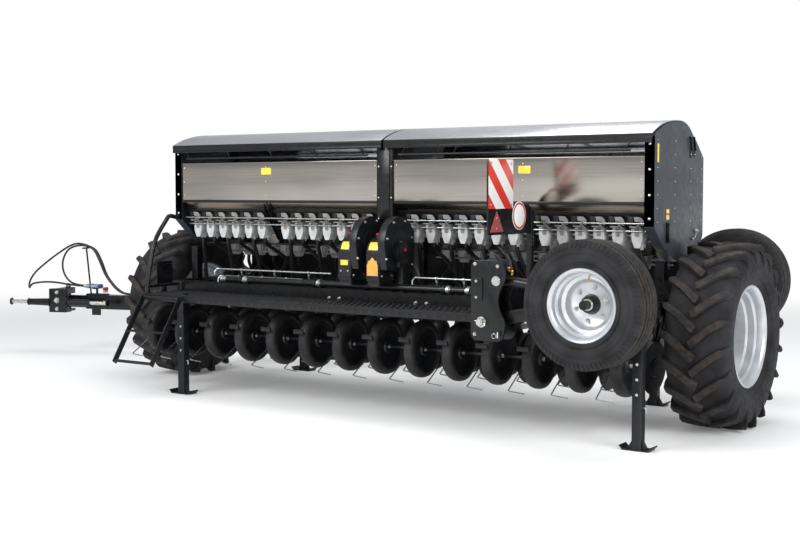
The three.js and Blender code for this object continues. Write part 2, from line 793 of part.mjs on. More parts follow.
function handrail() {
  const x = walkway.left + 18;
  const seat = hopper.frontY - 8 - fit;
  const edge = hopper.halfLength - hopper.endWidth / 2;
  const post = pipe(
    [
      [x, -945, walkway.top + fit],
      [x, -945, 840],
      [x - 10, -861, 1126],
      [x - 40, -700, 1300],
      [-edge, -590, 1330],
      [-edge, -530, 1322],
      [-edge, seat, 1322],
    ],
    17,
    { segments: 6, steps: 14 },
  );
  const low = pipe(
    [
      [x, -945, 800],
      [x, -900, 800],
      [x, -640, 800],
      [x, -622, 785],
      [x, -622, walkway.top + fit],
    ],
    14,
    { segments: 6, steps: 8 },
  );
  const plate = block([x - 3, x + 3], [-850, -680], [798, 985]);
  return join(post, low, plate);
}
part("handrail", handrail(), blackPaint);

// ---------------------------------------------------------------- drive units
const driveX = [-135, 105];
const gearbox = { width: 110, low: 905, high: 1215, front: -790, back: -610 };
const barTop = frameTop + fit;
sides.forEach(([side], i) => {
  const x = driveX[i];
  const shape = new THREE.Shape();
  shape.moveTo(gearbox.front, gearbox.low);
  shape.lineTo(gearbox.back, gearbox.low);
  shape.lineTo(gearbox.back, gearbox.high);
  shape.quadraticCurveTo(gearbox.front, gearbox.high, gearbox.front, gearbox.high - 130);
  const half = gearbox.width / 2;
  const foot = block([x - 40, x + 40], [gearbox.back - 5, frame.rearY + 30], [barTop, gearbox.low + 120]);
  part(`gearbox_${side}`, join(extrude("x", shape, x - half, x + half), foot), blackPlastic);

  // round chain guard beside it, open towards the hopper
  const guard = new THREE.Shape();
  guard.moveTo(-440, 960);
  guard.lineTo(-440, 1245);
  guard.absarc(-620, 1160, 190, 0.45, Math.PI, false);
  guard.lineTo(-780, 985);
  const from = x + half + fit;
  part(`drive_guard_${side}`, extrude("x", guard, from, from + 58, 10), blackPlastic);
});

function driveShaft() {
  const y = frame.rearY - 105;
  const z = frameTop + 38;
  const tube = rod([-1400, y, z], [800, y, z], 22, 12);
  const brackets = [-1200, -500, 600].map((x) =>
    block([x - 12, x + 12], [y - 5, frame.rearY + 20], [barTop, z]),
  );
  return join(tube, brackets);
}
part("drive_shaft", driveShaft(), zinc);

// ---------------------------------------------------------------- transport gear
const inPlane = (angle, reach) => {
  const a = THREE.MathUtils.degToRad(angle);
  return [gear.pivotX + reach * Math.cos(a), gear.pivotZ + reach * Math.sin(a)];
};
const [eyeX, eyeZ] = inPlane(ram.eyeTurn, ram.eyeReach);

function transportBracket(barY) {
  const plate = new THREE.Shape();
  const [left, right] = [gear.pivotX - 76, gear.pivotX + 174];
  const [low, high] = [gear.pivotZ - 117, gear.pivotZ + 383];
  plate.moveTo(left, low + 50);
  plate.quadraticCurveTo(left, low, left + 50, low);
  plate.lineTo(right - 75, low);
  plate.quadraticCurveTo(right - 25, low, right - 12, low + 70);
  plate.quadraticCurveTo(right, low + 130, right - 28, low + 160);
  plate.quadraticCurveTo(right - 85, low + 250, right - 25, low + 350);
  plate.quadraticCurveTo(right + 10, low + 400, right - 12, high - 50);
  plate.quadraticCurveTo(right - 30, high, right - 80, high);
  plate.lineTo(left + 50, high);
  plate.quadraticCurveTo(left, high, left, high - 50);
  const half = gear.plate / 2;
  const outer = extrude("y", plate, gear.outerY - half, gear.outerY + half, 4);
  const inner = extrude("y", plate, gear.innerY - half, gear.innerY + half, 4);
  const pin = (x, z, radius) => rod([x, gear.outerY - half - 14, z], [x, gear.innerY, z], radius, 12);
  const boxLow = frameTop + fit - 90;
  const box = block([gear.pivotX - 70, gear.pivotX + 60], [gear.innerY, barY], [boxLow, frameTop + 90]);
  const spacer = block([left + 10, left + 26], [gear.outerY, gear.innerY], [high - 330, high - 130]);
  const pins = [pin(gear.pivotX, gear.pivotZ, road.pin), pin(gear.ramX, gear.ramZ, road.pin)];
  return join(outer, inner, pins, box, spacer);
}

function transportArm() {
  const y = road.armY;
  const h = road.armThick / 2;
  const pivot = [gear.pivotX, y, gear.pivotZ];
  const hub = [road.hubX, y, road.hubZ];
  const across = (point, radius) => rod([point[0], y - h, point[2]], [point[0], y + h, point[2]], radius, 16);
  const root = inPlane(ram.eyeTurn - 4.5, ram.eyeReach);
  const lug = beam([root[0], y, root[1] - 20], [eyeX, y, eyeZ], ram.lug, 46);
  const lugEnd = rod([eyeX, y - ram.lug / 2, eyeZ], [eyeX, y + ram.lug / 2, eyeZ], 24, 12);
  const stub = rod([road.hubX, y - h + 5, road.hubZ], [road.hubX, y - h - 235, road.hubZ], road.stub, 16);
  const bar = beam(pivot, hub, road.armThick, road.armDepth);
  const body = join(bar, across(pivot, 56), across(hub, 56), lug, lugEnd, stub);
  const ends = [-1, 1].map((way) => [gear.pivotX, y + way * (h + 1), gear.pivotZ]);
  const bore = rod(...ends, bored(road.pin), 12);
  return cut(body, bore);
}

const ramLength = Math.hypot(eyeX - gear.ramX, eyeZ - gear.ramZ);
const ramPoint = (reach, y = road.armY) => [
  gear.ramX + ((eyeX - gear.ramX) * reach) / ramLength,
  y,
  gear.ramZ + ((eyeZ - gear.ramZ) * reach) / ramLength,
];
const barrelLength = 300;
function ramBarrel() {
  const tube = rod(ramPoint(34), ramPoint(barrelLength), ram.barrel, 16);
  const bore = rod(ramPoint(58), ramPoint(barrelLength + 1), bored(ram.rod), 12);
  const eye = rod(ramPoint(0, road.armY - 25), ramPoint(0, road.armY + 25), 38, 16);
  const eyeHole = rod(ramPoint(0, road.armY - 26), ramPoint(0, road.armY + 26), bored(road.pin), 12);
  return cut(join(tube, eye), bore, eyeHole);
}
function ramRod() {
  const shank = rod(ramPoint(62), ramPoint(ramLength - 50), ram.rod, 12);
  const offset = ram.lug / 2 + ram.play + ram.cheek / 2;
  const base = beam(ramPoint(ramLength - 72), ramPoint(ramLength - 50), 2 * offset + ram.cheek, 46);
  const cheeks = [-1, 1].map((way) =>
    beam(
      ramPoint(ramLength - 60, road.armY + way * offset),
      ramPoint(ramLength + 20, road.armY + way * offset),
      ram.cheek,
      46,
    ),
  );
  return join(shank, base, cheeks);
}
for (const [end, way, bar] of [
  ["rear", 1, frame.rearY - frame.bar / 2 - fit],
  ["front", -1, -(frame.frontY + frame.bar / 2 + fit)],
]) {
  const mirror = (body) => (way > 0 ? body : body.mirror([0, 1, 0]));
  part(`transport_bracket_${end}`, mirror(transportBracket(bar)), blackPaint);
  part(`transport_arm_${end}`, mirror(transportArm()), blackPaint);
  part(`transport_ram_barrel_${end}`, mirror(ramBarrel()), blackPaint);
  part(`transport_ram_rod_${end}`, mirror(ramRod()), chrome);
  const at = [road.hubX, (-way * roadWheel.track) / 2, road.hubZ];
  part(`transport_tyre_${end}`, tyre("y", roadWheel, 20), rubber, at);
  const rimBody = rim("y", roadWheel, bored(road.stub, 16), 30, 16);
  part(`transport_rim_${end}`, mirror(rimBody), silverPaint, at);
}

// ---------------------------------------------------------------- parking stands
function standLeg() {
  const half = stand.tube / 2;
  const halfLong = stand.footLong / 2;
  const halfWide = stand.footWide / 2;
  const foot = [
    block([-halfLong, halfLong], [-halfWide, halfWide], [0, stand.plate]),
    ...[-1, 1].map((way) =>
      beam(
        [way * (halfLong - 6), 0, stand.plate / 2],
        [way * (halfLong + 16), 0, 28],
        stand.footWide,
        stand.plate - 2,
      ),
    ),
  ];
  const gussets = [-1, 1].map((way) =>
    extrude("y", [[way * (half - 1), 6], [way * (half + 38), 6], [way * (half - 1), 70]], -4, 4),
  );
  return join(block([-half, half], [-half, half], [2, stand.top]), foot, gussets);
}
for (const [name, x, y] of stands) part(name, standLeg(), blackPaint, [x, y, 0]);

// ---------------------------------------------------------------- drawbar
function drawbarBoom() {
  const back = frame.frontY + frame.bar / 2 + fit;
  const high = draw.high + 90;
  const boom = block([-60, 60], [back, draw.pivotY - 80], [frameLow - 10, frameTop - 10]);
  const flange = block([-130, 130], [back, back + 16], [frameLow - 40, frameTop]);
  const head = block([-90, 90], [draw.pivotY - 155, draw.pivotY + 85], [draw.high + 8, frameLow + 40]);
  const web = block([-60, 60], [draw.pivotY - 155, draw.pivotY - 115], [draw.low - 50, draw.high + 10]);
  const lower = block([-80, 80], [draw.pivotY - 155, draw.pivotY + 70], [draw.low - 50, draw.low - 10]);
  const pin = rod([0, draw.pivotY, draw.low - 50], [0, draw.pivotY, high], draw.pin, 16);
  const strutX = 430;
  const struts = sides.map(([, s]) =>
    beam([s * strutX, back + 46, frameLow + 50], [s * 50, draw.pivotY - 360, frameLow + 40], 70, 70),
  );
  const shoes = sides.map(([, s]) =>
    block([s * strutX - 60, s * strutX + 60], [back, back + 60], [frameLow + 10, frameTop - 10]),
  );
  return join(boom, flange, head, web, lower, pin, struts, shoes);
}
part("drawbar_boom", drawbarBoom(), blackPaint);

// Frame of the drawbar: distances run from the hitch pin towards the frame, sideways to its left.
const towards = new THREE.Vector2(-draw.hitchX, draw.pivotY - draw.hitchY).normalize();
const onDrawbar = (along, z, aside = 0) => [
  draw.hitchX + towards.x * along - towards.y * aside,
  draw.hitchY + towards.y * along + towards.x * aside,
  z,
];
const drawLength = Math.hypot(draw.hitchX, draw.pivotY - draw.hitchY);
const drawMiddle = (draw.low + draw.high) / 2;
function drawbar() {
  const deep = draw.high - draw.low;
  const tube = beam(onDrawbar(230, drawMiddle), onDrawbar(drawLength + 60, drawMiddle), draw.width, deep);
  const tongue = beam(onDrawbar(0, drawMiddle), onDrawbar(240, drawMiddle), draw.tongue, 110);
  const nose = rod(onDrawbar(0, drawMiddle - 55), onDrawbar(0, drawMiddle + 55), draw.tongue / 2 + 8, 16);
  const lug = beam(onDrawbar(260, draw.low - 30), onDrawbar(350, draw.low - 30), 16, 66);
  const clamp = beam(onDrawbar(900.6, draw.high + 14), onDrawbar(960, draw.high + 14), 100, 32);
  const bores = [
    rod(onDrawbar(drawLength, draw.low - 1), onDrawbar(drawLength, draw.high + 1), bored(draw.pin, 16), 16),
    rod(onDrawbar(0, draw.low), onDrawbar(0, draw.high), bored(hitch.pin, 16), 16),
  ];
  return cut(join(tube, tongue, nose, lug, clamp), bores);
}
part("drawbar", drawbar(), blackPaint);

// Cross bar with its spool pins, on a clevis that swings on the drawbar's nose.
function hitchCrossbar() {
  const a = THREE.MathUtils.degToRad(hitch.turn);
  const at = (along, ahead, z) => [
    draw.hitchX + Math.cos(a) * along + Math.sin(a) * ahead,
    draw.hitchY + Math.sin(a) * along - Math.cos(a) * ahead,
    z,
  ];
  const armAt = (along) => at(along, hitch.ahead, drawMiddle);
  const middle = (hitch.low + hitch.high) / 2;
  const height = hitch.high - hitch.low;
  const half = hitch.block / 2;
  const body = beam(at(-half, hitch.ahead, middle), at(half, hitch.ahead, middle), hitch.deep, height);
  const clevis = [
    [hitch.low, draw.low - 6],
    [draw.high + 6, hitch.high],
  ].map(([low, high]) => {
    const z = (low + high) / 2;
    return beam(at(0, -45, z), at(0, hitch.ahead, z), 100, high - low);
  });
  const pin = rod(at(0, 0, hitch.low - 12), at(0, 0, hitch.high + 12), hitch.pin, 16);
  const arms = [-1, 1].flatMap((way) => [
    cone(armAt(way * 80), armAt(way * (hitch.half - 190)), 36, 30, 8),
    rod(armAt(way * (hitch.half - 195)), armAt(way * hitch.half), hitch.spool - 10, 8),
    ...[0, 182].map((back) =>
      rod(
        at(way * (hitch.half - back - 10), hitch.ahead, drawMiddle),
        at(way * (hitch.half - back), hitch.ahead, drawMiddle),
        hitch.spool + 6,
        8,
      ),
    ),
  ]);
  return join(body, clevis, pin, arms);
}
part("hitch_crossbar", hitchCrossbar(), blackPaint);

// Post with a hook for the hoses, and a rack for their couplers, on the drawbar.
const hoseSide = 34;
const hoseEnds = [0, -36]; // where the parked couplers lie, aside of the middle
function hoseStand() {
  const foot = draw.high + fit;
  const post = rod(onDrawbar(250, foot + 5), onDrawbar(205, 986), 8, 8);
  const base = beam(onDrawbar(220, foot + 5), onDrawbar(420, foot + 5), 90, 10);
  const hook = rod(onDrawbar(205, 990.5, -hoseSide - 30), onDrawbar(205, 990.5, hoseSide + 30), 8, 8);
  const rack = beam(onDrawbar(300, foot + 60), onDrawbar(330, foot + 60), 110, 8);
  const legs = beam(onDrawbar(315, foot + 5), onDrawbar(315, foot + 60), 20, 10);
  const couplers = hoseEnds.map((aside) =>
    rod(onDrawbar(230.6, 632, aside), onDrawbar(345, 632, aside), 20, 12),
  );
  return join(post, base, hook, rack, legs, couplers);
}
part("hose_stand", hoseStand(), blackPaint);

// ---------------------------------------------------------------- warning board and speed sign
// Both face +X, the rear of the towing position, on one carrier that stands on the rear bar.
const carrier = {
  x: 1192, // face of the plate
  plate: 6,
  near: -1088, // outer edge
  far: -521,
  low: 1250,
  shelf: 1440, // upper edge beside the board
  post: [[1170, 1210], [-550, -520]],
};
const board = { near: -1091, far: -779, low: 1414, high: 1726, thick: 4 };
const speedFace = { y: -691, z: 1367, radius: 91, thick: 3 };

function warningBoard() {
  const back = carrier.x + fit;
  const plate = block([back, back + board.thick], [board.near, board.far], [board.low, board.high]);
  const triangle = extrude("x", [[-1083, 1263], [-899, 1263], [-991, 1408]], back, back + board.thick);
  const link = block([back, back + board.thick - 1], [-1001, -981], [board.low - 40, board.low + 10]);
  return join(plate, triangle, link);
}
part("warning_board", warningBoard(), redWhite);

function speedSign() {
  const corner = 38;
  const edge = [
    [carrier.near, carrier.low],
    [carrier.far, carrier.low],
    [carrier.far, carrier.shelf - corner],
    [carrier.far - corner, carrier.shelf],
    [board.far + 8, carrier.shelf],
    [board.far + 8, board.high - 6],
    [carrier.near, board.high - 6],
  ];
  const plate = extrude("x", edge, carrier.x - carrier.plate, carrier.x);
  const post = block(...carrier.post, [frameTop + fit, carrier.shelf - corner]);
  const { y, z, radius, thick } = speedFace;
  const face = rod([carrier.x - 1, y, z], [carrier.x + thick, y, z], radius, 24);
  return join(plate, post, face);
}
part("speed_sign", speedSign(), blackPaint);

// ---------------------------------------------------------------- hoses on the drawbar
// Points of each free hose: distance along the drawbar, height, and distance aside.
const hoseRadius = 9;
const hoses = {
  hose_outer: [
    [900, 559.3, 34], [780, 560, 34], [640, 562, 34], [561, 580, 34], [476, 645, 34], [402, 740, 34],
    [350, 861, 34], [290, 965, 34], [205, 1009, 34], [100, 1030, 34], [3, 1007, 34], [-142, 925, 34],
    [-289, 825, 34], [-392, 742, 34], [-448, 660, 30], [-440, 600, 10], [-380, 640, -20], [-250, 660, -30],
    [-120, 660, -34], [20, 645, -36], [150, 634, -36], [230, 632, -36],
  ],
  hose_inner: [
    [900, 559.3, 0], [780, 560, 0], [640, 564, 0], [550, 590, 0], [470, 660, 0], [400, 752, 0],
    [345, 870, 0], [285, 970, 2], [205, 1009, 4], [100, 1010, 4], [10, 975, 4], [-43, 905, 4],
    [-61, 825, 2], [-40, 740, 0], [20, 670, 0], [110, 640, 0], [230, 632, 0],
  ],
};
const hoseNodes = [];
for (const [name, points] of Object.entries(hoses)) {
  const body = pipe(points.map(([along, z, aside]) => onDrawbar(along, z, aside)), hoseRadius, { steps: 38 });
  hoseNodes.push(part(name, body, blackPlastic));
}

// ---------------------------------------------------------------- origin
// The group moves so that its origin is the middle of the footprint, without the hoses.
const footprint = new THREE.Box3();
for (const mesh of drill.children) {
  if (!hoseNodes.includes(mesh)) footprint.expandByObject(mesh, true);
}
const middle = footprint.getCenter(new THREE.Vector3());
drill.position.set(-middle.x, -middle.y, -footprint.min.z);

export default drill;
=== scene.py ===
# A trailed seed drill: finishes, tyres, coulters, metering, hoses and small parts round the CAD frame.
# Shapes are written in millimetres in the drill's own frame: x from the hopper's middle, y from the
# field axle towards the front, z from the ground. Each finished mesh is moved into the row frame.
import json
import math

import bmesh
import bpy
from mathutils import Matrix, Vector
from mathutils.geometry import interpolate_bezier

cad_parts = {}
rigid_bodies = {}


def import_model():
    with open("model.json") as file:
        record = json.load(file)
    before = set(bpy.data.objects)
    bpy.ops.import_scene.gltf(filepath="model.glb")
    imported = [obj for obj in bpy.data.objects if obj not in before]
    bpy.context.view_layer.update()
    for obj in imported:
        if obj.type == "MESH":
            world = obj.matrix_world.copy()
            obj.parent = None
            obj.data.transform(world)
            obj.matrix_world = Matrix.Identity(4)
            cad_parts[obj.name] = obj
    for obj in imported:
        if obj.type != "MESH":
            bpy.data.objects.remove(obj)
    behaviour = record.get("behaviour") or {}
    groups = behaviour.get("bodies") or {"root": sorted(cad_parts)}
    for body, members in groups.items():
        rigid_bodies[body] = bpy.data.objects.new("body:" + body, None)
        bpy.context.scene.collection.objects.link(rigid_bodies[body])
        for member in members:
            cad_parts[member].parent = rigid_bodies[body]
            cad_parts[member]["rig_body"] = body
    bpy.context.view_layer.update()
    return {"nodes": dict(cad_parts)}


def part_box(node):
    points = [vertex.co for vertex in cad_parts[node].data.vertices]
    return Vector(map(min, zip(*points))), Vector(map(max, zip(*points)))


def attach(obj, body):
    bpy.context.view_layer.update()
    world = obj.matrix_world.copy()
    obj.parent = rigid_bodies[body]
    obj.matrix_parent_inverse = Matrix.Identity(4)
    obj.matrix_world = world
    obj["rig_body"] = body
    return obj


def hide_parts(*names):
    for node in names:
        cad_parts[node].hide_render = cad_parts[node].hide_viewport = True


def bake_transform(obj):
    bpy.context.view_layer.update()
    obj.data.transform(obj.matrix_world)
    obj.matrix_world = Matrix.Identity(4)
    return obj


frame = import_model()

MM = 0.001
left_tyre, right_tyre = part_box("field_tyre_left"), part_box("field_tyre_right")
MIDDLE = Vector(((left_tyre[0].x + right_tyre[1].x) / 2, (right_tyre[0].y + right_tyre[1].y) / 2, 0))
TO_ROW = Matrix.Translation(MIDDLE) @ Matrix.Scale(MM, 4)
FRAME_TOP = 820.3  # just over the frame's bars
SHAFT = (-645, 858)  # y and z of the drive tube over the walkway
REAR_WALL = -480  # y of the hopper's rear wall
FLANGE = -488  # y of the end plates' folded flanges
SIDES = (("left", -1), ("right", 1))
ENDS = (("rear", 1), ("front", -1))


def row(x, y, z):
    """A point of the drill's own frame, in the row frame in metres."""
    return TO_ROW @ Vector((x, y, z))


def span(node):
    """A CAD node's lowest and highest corners in the drill's own frame, in millimetres."""
    low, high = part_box(node)
    return (low - MIDDLE) / MM, (high - MIDDLE) / MM


# ------------------------------------------------------------------ camera
FOCAL_LENGTH = 57.15
EYE_SPOT = (5130, -7930, 1520)
EYE_DOWN, EYE_HEADING = 3.36, 33.9  # degrees


def camera():
    data = bpy.data.cameras.new("camera")
    data.sensor_width, data.lens, data.clip_end = 36, FOCAL_LENGTH, 200
    eye = bpy.data.objects.new("camera", data)
    bpy.context.scene.collection.objects.link(eye)
    eye.location = row(*EYE_SPOT)
    eye.rotation_euler = (math.radians(90 - EYE_DOWN), 0, math.radians(EYE_HEADING))
    bpy.context.scene.camera = eye


camera()


# ------------------------------------------------------------------ making meshes
SHARP = 38  # degrees: an edge that turns more is eased and drawn sharp


def smooth_line(points, steps=6):
    """Points on one smooth curve through the given ones."""
    points = [Vector(p) for p in points]
    result = []
    for i in range(len(points) - 1):
        before = points[max(i - 1, 0)]
        after = points[min(i + 2, len(points) - 1)]
        a, b = points[i], points[i + 1]
        run = interpolate_bezier(a, a + (b - before) / 6, b - (after - a) / 6, b, steps + 1)
        result += run[:-1]
    return result + [points[-1]]


def arc(centre, radius, start, end, steps=12):
    """Flat points on a circle's arc, with angles in degrees."""
    turns = [math.radians(start + (end - start) * i / steps) for i in range(steps + 1)]
    return [(centre[0] + radius * math.cos(t), centre[1] + radius * math.sin(t)) for t in turns]


def rounded(points, radius, steps=5):
    """A flat outline with its corners rounded. A corner may give its own radius as a third number."""
    result = []
    for i, corner in enumerate(points):
        here = Vector(corner[:2])
        before = Vector(points[i - 1][:2]) - here
        after = Vector(points[(i + 1) % len(points)][:2]) - here
        own = corner[2] if len(corner) > 2 else radius
        reach = min(own, before.length / 2.01, after.length / 2.01)
        a, b = here + before.normalized() * reach, here + after.normalized() * reach
        for k in range(steps + 1):
            t = k / steps
            result.append(tuple(a * (1 - t) ** 2 + here * 2 * t * (1 - t) + b * t**2))
    return result


def skin(new, loops):
    """Faces between loops of vertices that follow each other, with both ends closed."""
    for low, high in zip(loops, loops[1:]):
        for i in range(len(low)):
            j = (i + 1) % len(low)
            new.faces.new((low[i], low[j], high[j], high[i]))
    new.faces.new(loops[0])
    new.faces.new(loops[-1])


def ease(new, edges, width, steps):
    """Rounds edges off by a width."""
    options = {"profile": 0.6, "affect": "EDGES", "clamp_overlap": True}
    bmesh.ops.bevel(new, geom=edges, offset=width, segments=steps, **options)


def oblong(low, high, radius, steps=5):
    """A flat rectangle with rounded corners, from its lowest and highest corners."""
    (a, b), (c, d) = low, high
    return rounded([(a, b), (c, b), (c, d), (a, d)], radius, steps)


class Shape:
    """A mesh in millimetres that grows piece by piece."""

    def __init__(self):
        self.mesh = bmesh.new()

    def absorb(self, other, bevel=0.0, steps=2):
        """Takes in a separate bmesh, with its sharp edges eased by a bevel in millimetres."""
        bmesh.ops.remove_doubles(other, verts=other.verts, dist=1e-4)
        bmesh.ops.recalc_face_normals(other, faces=other.faces)
        if bevel > 0:
            sharp = [e for e in other.edges if e.is_manifold and e.calc_face_angle(0) > math.radians(SHARP)]
            ease(other, sharp, bevel, steps)
        self.take(other)
        other.free()
        return self

    def take(self, source):
        """Takes in a copy of a bmesh as it is."""
        whole = bpy.data.meshes.new("whole")
        source.to_mesh(whole)
        self.mesh.from_mesh(whole)
        bpy.data.meshes.remove(whole)
        return self

    def add(self, other):
        """Takes in a copy of another shape."""
        return self.take(other.mesh)

    def move(self, place):
        """Moves or turns the shape, by a vector or a matrix."""
        if not isinstance(place, Matrix):
            place = Matrix.Translation(place)
        bmesh.ops.transform(self.mesh, matrix=place, verts=self.mesh.verts)
        return self

    def box(self, low, high, bevel=1.5):
        """A cuboid from its two corners."""
        low, high = Vector(low), Vector(high)
        new = bmesh.new()
        size = high - low
        place = Matrix.Translation((low + high) / 2) @ Matrix.Diagonal((*[abs(s) for s in size], 1))
        bmesh.ops.create_cube(new, size=1, matrix=place)
        return self.absorb(new, min(bevel, min(abs(s) for s in size) * 0.3))

    def bar(self, start, end, width, height, bevel=1.5):
        """A flat or square bar between two points, with its height kept upright."""
        start, end = Vector(start), Vector(end)
        run = end - start
        forward = run.normalized()
        upright = Vector((1, 0, 0)) if abs(forward.z) > 0.99 else Vector((0, 0, 1))
        side = forward.cross(upright).normalized()
        top = side.cross(forward)
        turn = Matrix((side, forward, top)).transposed().to_4x4()
        new = bmesh.new()
        place = Matrix.Translation((start + end) / 2) @ turn @ Matrix.Diagonal(
            (width, run.length, height, 1)
        )
        bmesh.ops.create_cube(new, size=1, matrix=place)
        return self.absorb(new, min(bevel, width * 0.3, height * 0.3))

    def plate(self, axis, outline, low, high, bevel=1.5):
        """A flat outline pushed out along an axis: its numbers are the other two axes in order."""
        order = {"x": (2, 0, 1), "y": (0, 2, 1), "z": (0, 1, 2)}[axis]
        new = bmesh.new()
        rings = [
            [
                new.verts.new(Vector([(a, b, level)[k] for k in order])) for a, b in outline
            ] for level in (low, high)
        ]
        new.faces.new(rings[0])
        new.faces.new(rings[1])
        for i in range(len(outline)):
            j = (i + 1) % len(outline)
            new.faces.new((rings[0][i], rings[0][j], rings[1][j], rings[1][i]))
        return self.absorb(new, min(bevel, abs(high - low) * 0.3))

    def turned(self, axis, centre, profile, steps=48, wobble=None):
        """A closed profile of (along, radius) turned round an axis. wobble shifts points along it."""
        new = bmesh.new()
        rings = []
        for i in range(steps):
            t = 2 * math.pi * i / steps
            ring = []
            for k, (along, radius) in enumerate(profile):
                shift = wobble(k, i) if wobble else 0
                a, b, c = along + shift, radius * math.cos(t), radius * math.sin(t)
                spot = {"x": (a, b, c), "y": (b, a, c), "z": (b, c, a)}[axis]
                ring.append(new.verts.new(Vector(spot) + Vector(centre)))
            rings.append(ring)
        count = len(profile)
        for i in range(steps):
            here, there = rings[i], rings[(i + 1) % steps]
            for k in range(count):
                n = (k + 1) % count
                if profile[k][1] == 0 and profile[n][1] == 0:
                    continue
                new.faces.new((here[k], here[n], there[n], there[k]))
        bmesh.ops.remove_doubles(new, verts=new.verts, dist=1e-4)
        return self.absorb(new)

    def rod(self, start, end, radius, steps=20, ease=1.0, tip=None):
        """A round bar between two points, with eased ends. tip is the radius at its end."""
        start, end = Vector(start), Vector(end)
        length = (end - start).length
        tip = radius if tip is None else tip
        ease = min(ease, radius * 0.4, length * 0.3)
        new = bmesh.new()
        turn = Vector((0, 0, 1)).rotation_difference(end - start).to_matrix().to_4x4()
        place = Matrix.Translation(start) @ turn
        rings = [(0, radius - ease), (ease, radius), (length - ease, tip), (length, tip - ease)]
        loops = []
        for along, size in rings:
            turns = [2 * math.pi * i / steps for i in range(steps)]
            loops.append(
                [
                    new.verts.new(
                        place @ Vector((size * math.cos(t), size * math.sin(t), along))
                    ) for t in turns
                ]
            )
        skin(new, loops)
        return self.absorb(new)

    def tube(self, points, radius, sides=12):
        """A round bar or hose along points, closed at both ends. radius may be one size or one a point."""
        points = [Vector(p) for p in points]
        sizes = radius if isinstance(radius, (list, tuple)) else [radius] * len(points)
        new = bmesh.new()
        ahead = (points[1] - points[0]).normalized()
        side = ahead.orthogonal().normalized()
        loops = []
        for i, point in enumerate(points):
            last = points[max(i - 1, 0)]
            after = points[min(i + 1, len(points) - 1)]
            way = (after - last).normalized()
            side = (ahead.rotation_difference(way) @ side).normalized()
            ahead = way
            other = way.cross(side)
            turns = [2 * math.pi * k / sides for k in range(sides)]
            loops.append(
                [
                    new.verts.new(
                        point + (side * math.cos(t) + other * math.sin(t)) * sizes[i]
                    ) for t in turns
                ]
            )
        skin(new, loops)
        return self.absorb(new)

    def nut(self, centre, axis, across, thick, stud=0.0, washer=True):
        """A hexagon nut or bolt head that stands on a face, along a direction."""
        centre, axis = Vector(centre), Vector(axis).normalized()
        turn = Vector((0, 0, 1)).rotation_difference(axis).to_matrix().to_4x4()
        base = centre
        if washer:
            self.rod(centre - axis, centre + axis * thick * 0.22, across * 0.68, 20, 0.4)
            base = centre + axis * thick * 0.22
        new = bmesh.new()
        place = Matrix.Translation(base + axis * thick / 2) @ turn
        size = {"radius1": across * 0.577, "radius2": across * 0.577, "depth": thick}
        bmesh.ops.create_cone(new, cap_ends=True, segments=6, matrix=place, **size)
        self.absorb(new, thick * 0.1, 1)
        if stud > 0:
            self.rod(base, base + axis * (thick + stud), across * 0.3, 12, 0.6)
        return self

    def dome(self, centre, axis, radius, height, steps=16):
        """A round head that stands on a face, along a direction."""
        axis = Vector(axis).normalized()
        centre = Vector(centre)
        rings = [0, 0.35, 0.7, 0.92, 1.0]
        points = [centre + axis * height * s for s in rings]
        sizes = [radius * math.sqrt(max(1 - s**2.4, 0.004)) for s in rings]
        return self.tube(points, sizes, steps)

    def mirrored(self, axis):
        """A copy of the shape mirrored through 0 on an axis."""
        copy = Shape()
        new = self.mesh.copy()
        scale = Vector([-1 if a == axis else 1 for a in "xyz"])
        for v in new.verts:
            v.co = Vector([c * s for c, s in zip(v.co, scale)])
        bmesh.ops.reverse_faces(new, faces=new.faces)
        copy.take(new)
        new.free()
        return copy



def piece(name, shape, material, body="chassis", slot=None, replaces=()):
    """Finishes a shape as an object in the row frame that rides on a CAD body."""
    slot = slot or SLOT_OF[material.name]
    mesh = bpy.data.meshes.new(name)
    for edge in shape.mesh.edges:
        edge.smooth = edge.calc_face_angle(0) < math.radians(SHARP)
    for face in shape.mesh.faces:
        face.smooth = True
        face.material_index = 0
    shape.mesh.to_mesh(mesh)
    mesh.transform(TO_ROW)
    thing = bpy.data.objects.new(name, mesh)
    bpy.context.scene.collection.objects.link(thing)
    mesh.materials.clear()
    mesh.materials.append(material)
    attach(thing, body)
    if replaces:
        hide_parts(*replaces)
    return thing


def eased(node, material, radius, extra=None, name=None):
    """A CAD node's own shape with its sharp edges rounded, in place of the node."""
    new = bmesh.new()
    new.from_mesh(frame["nodes"][node].data)
    bmesh.ops.transform(new, matrix=TO_ROW.inverted(), verts=new.verts)
    bmesh.ops.remove_doubles(new, verts=new.verts, dist=0.02)
    bmesh.ops.dissolve_limit(new, angle_limit=math.radians(1), verts=new.verts, edges=new.edges)
    edges = [e for e in new.edges if e.is_manifold and e.calc_face_angle(0) > math.radians(SHARP + 2)]
    ease(new, edges, radius, 2)
    shape = Shape().take(new)
    new.free()
    if extra:
        extra(shape)
    body = frame["nodes"][node]["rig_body"]
    return piece(name or f"{node}_painted", shape, material, body, replaces=[node])


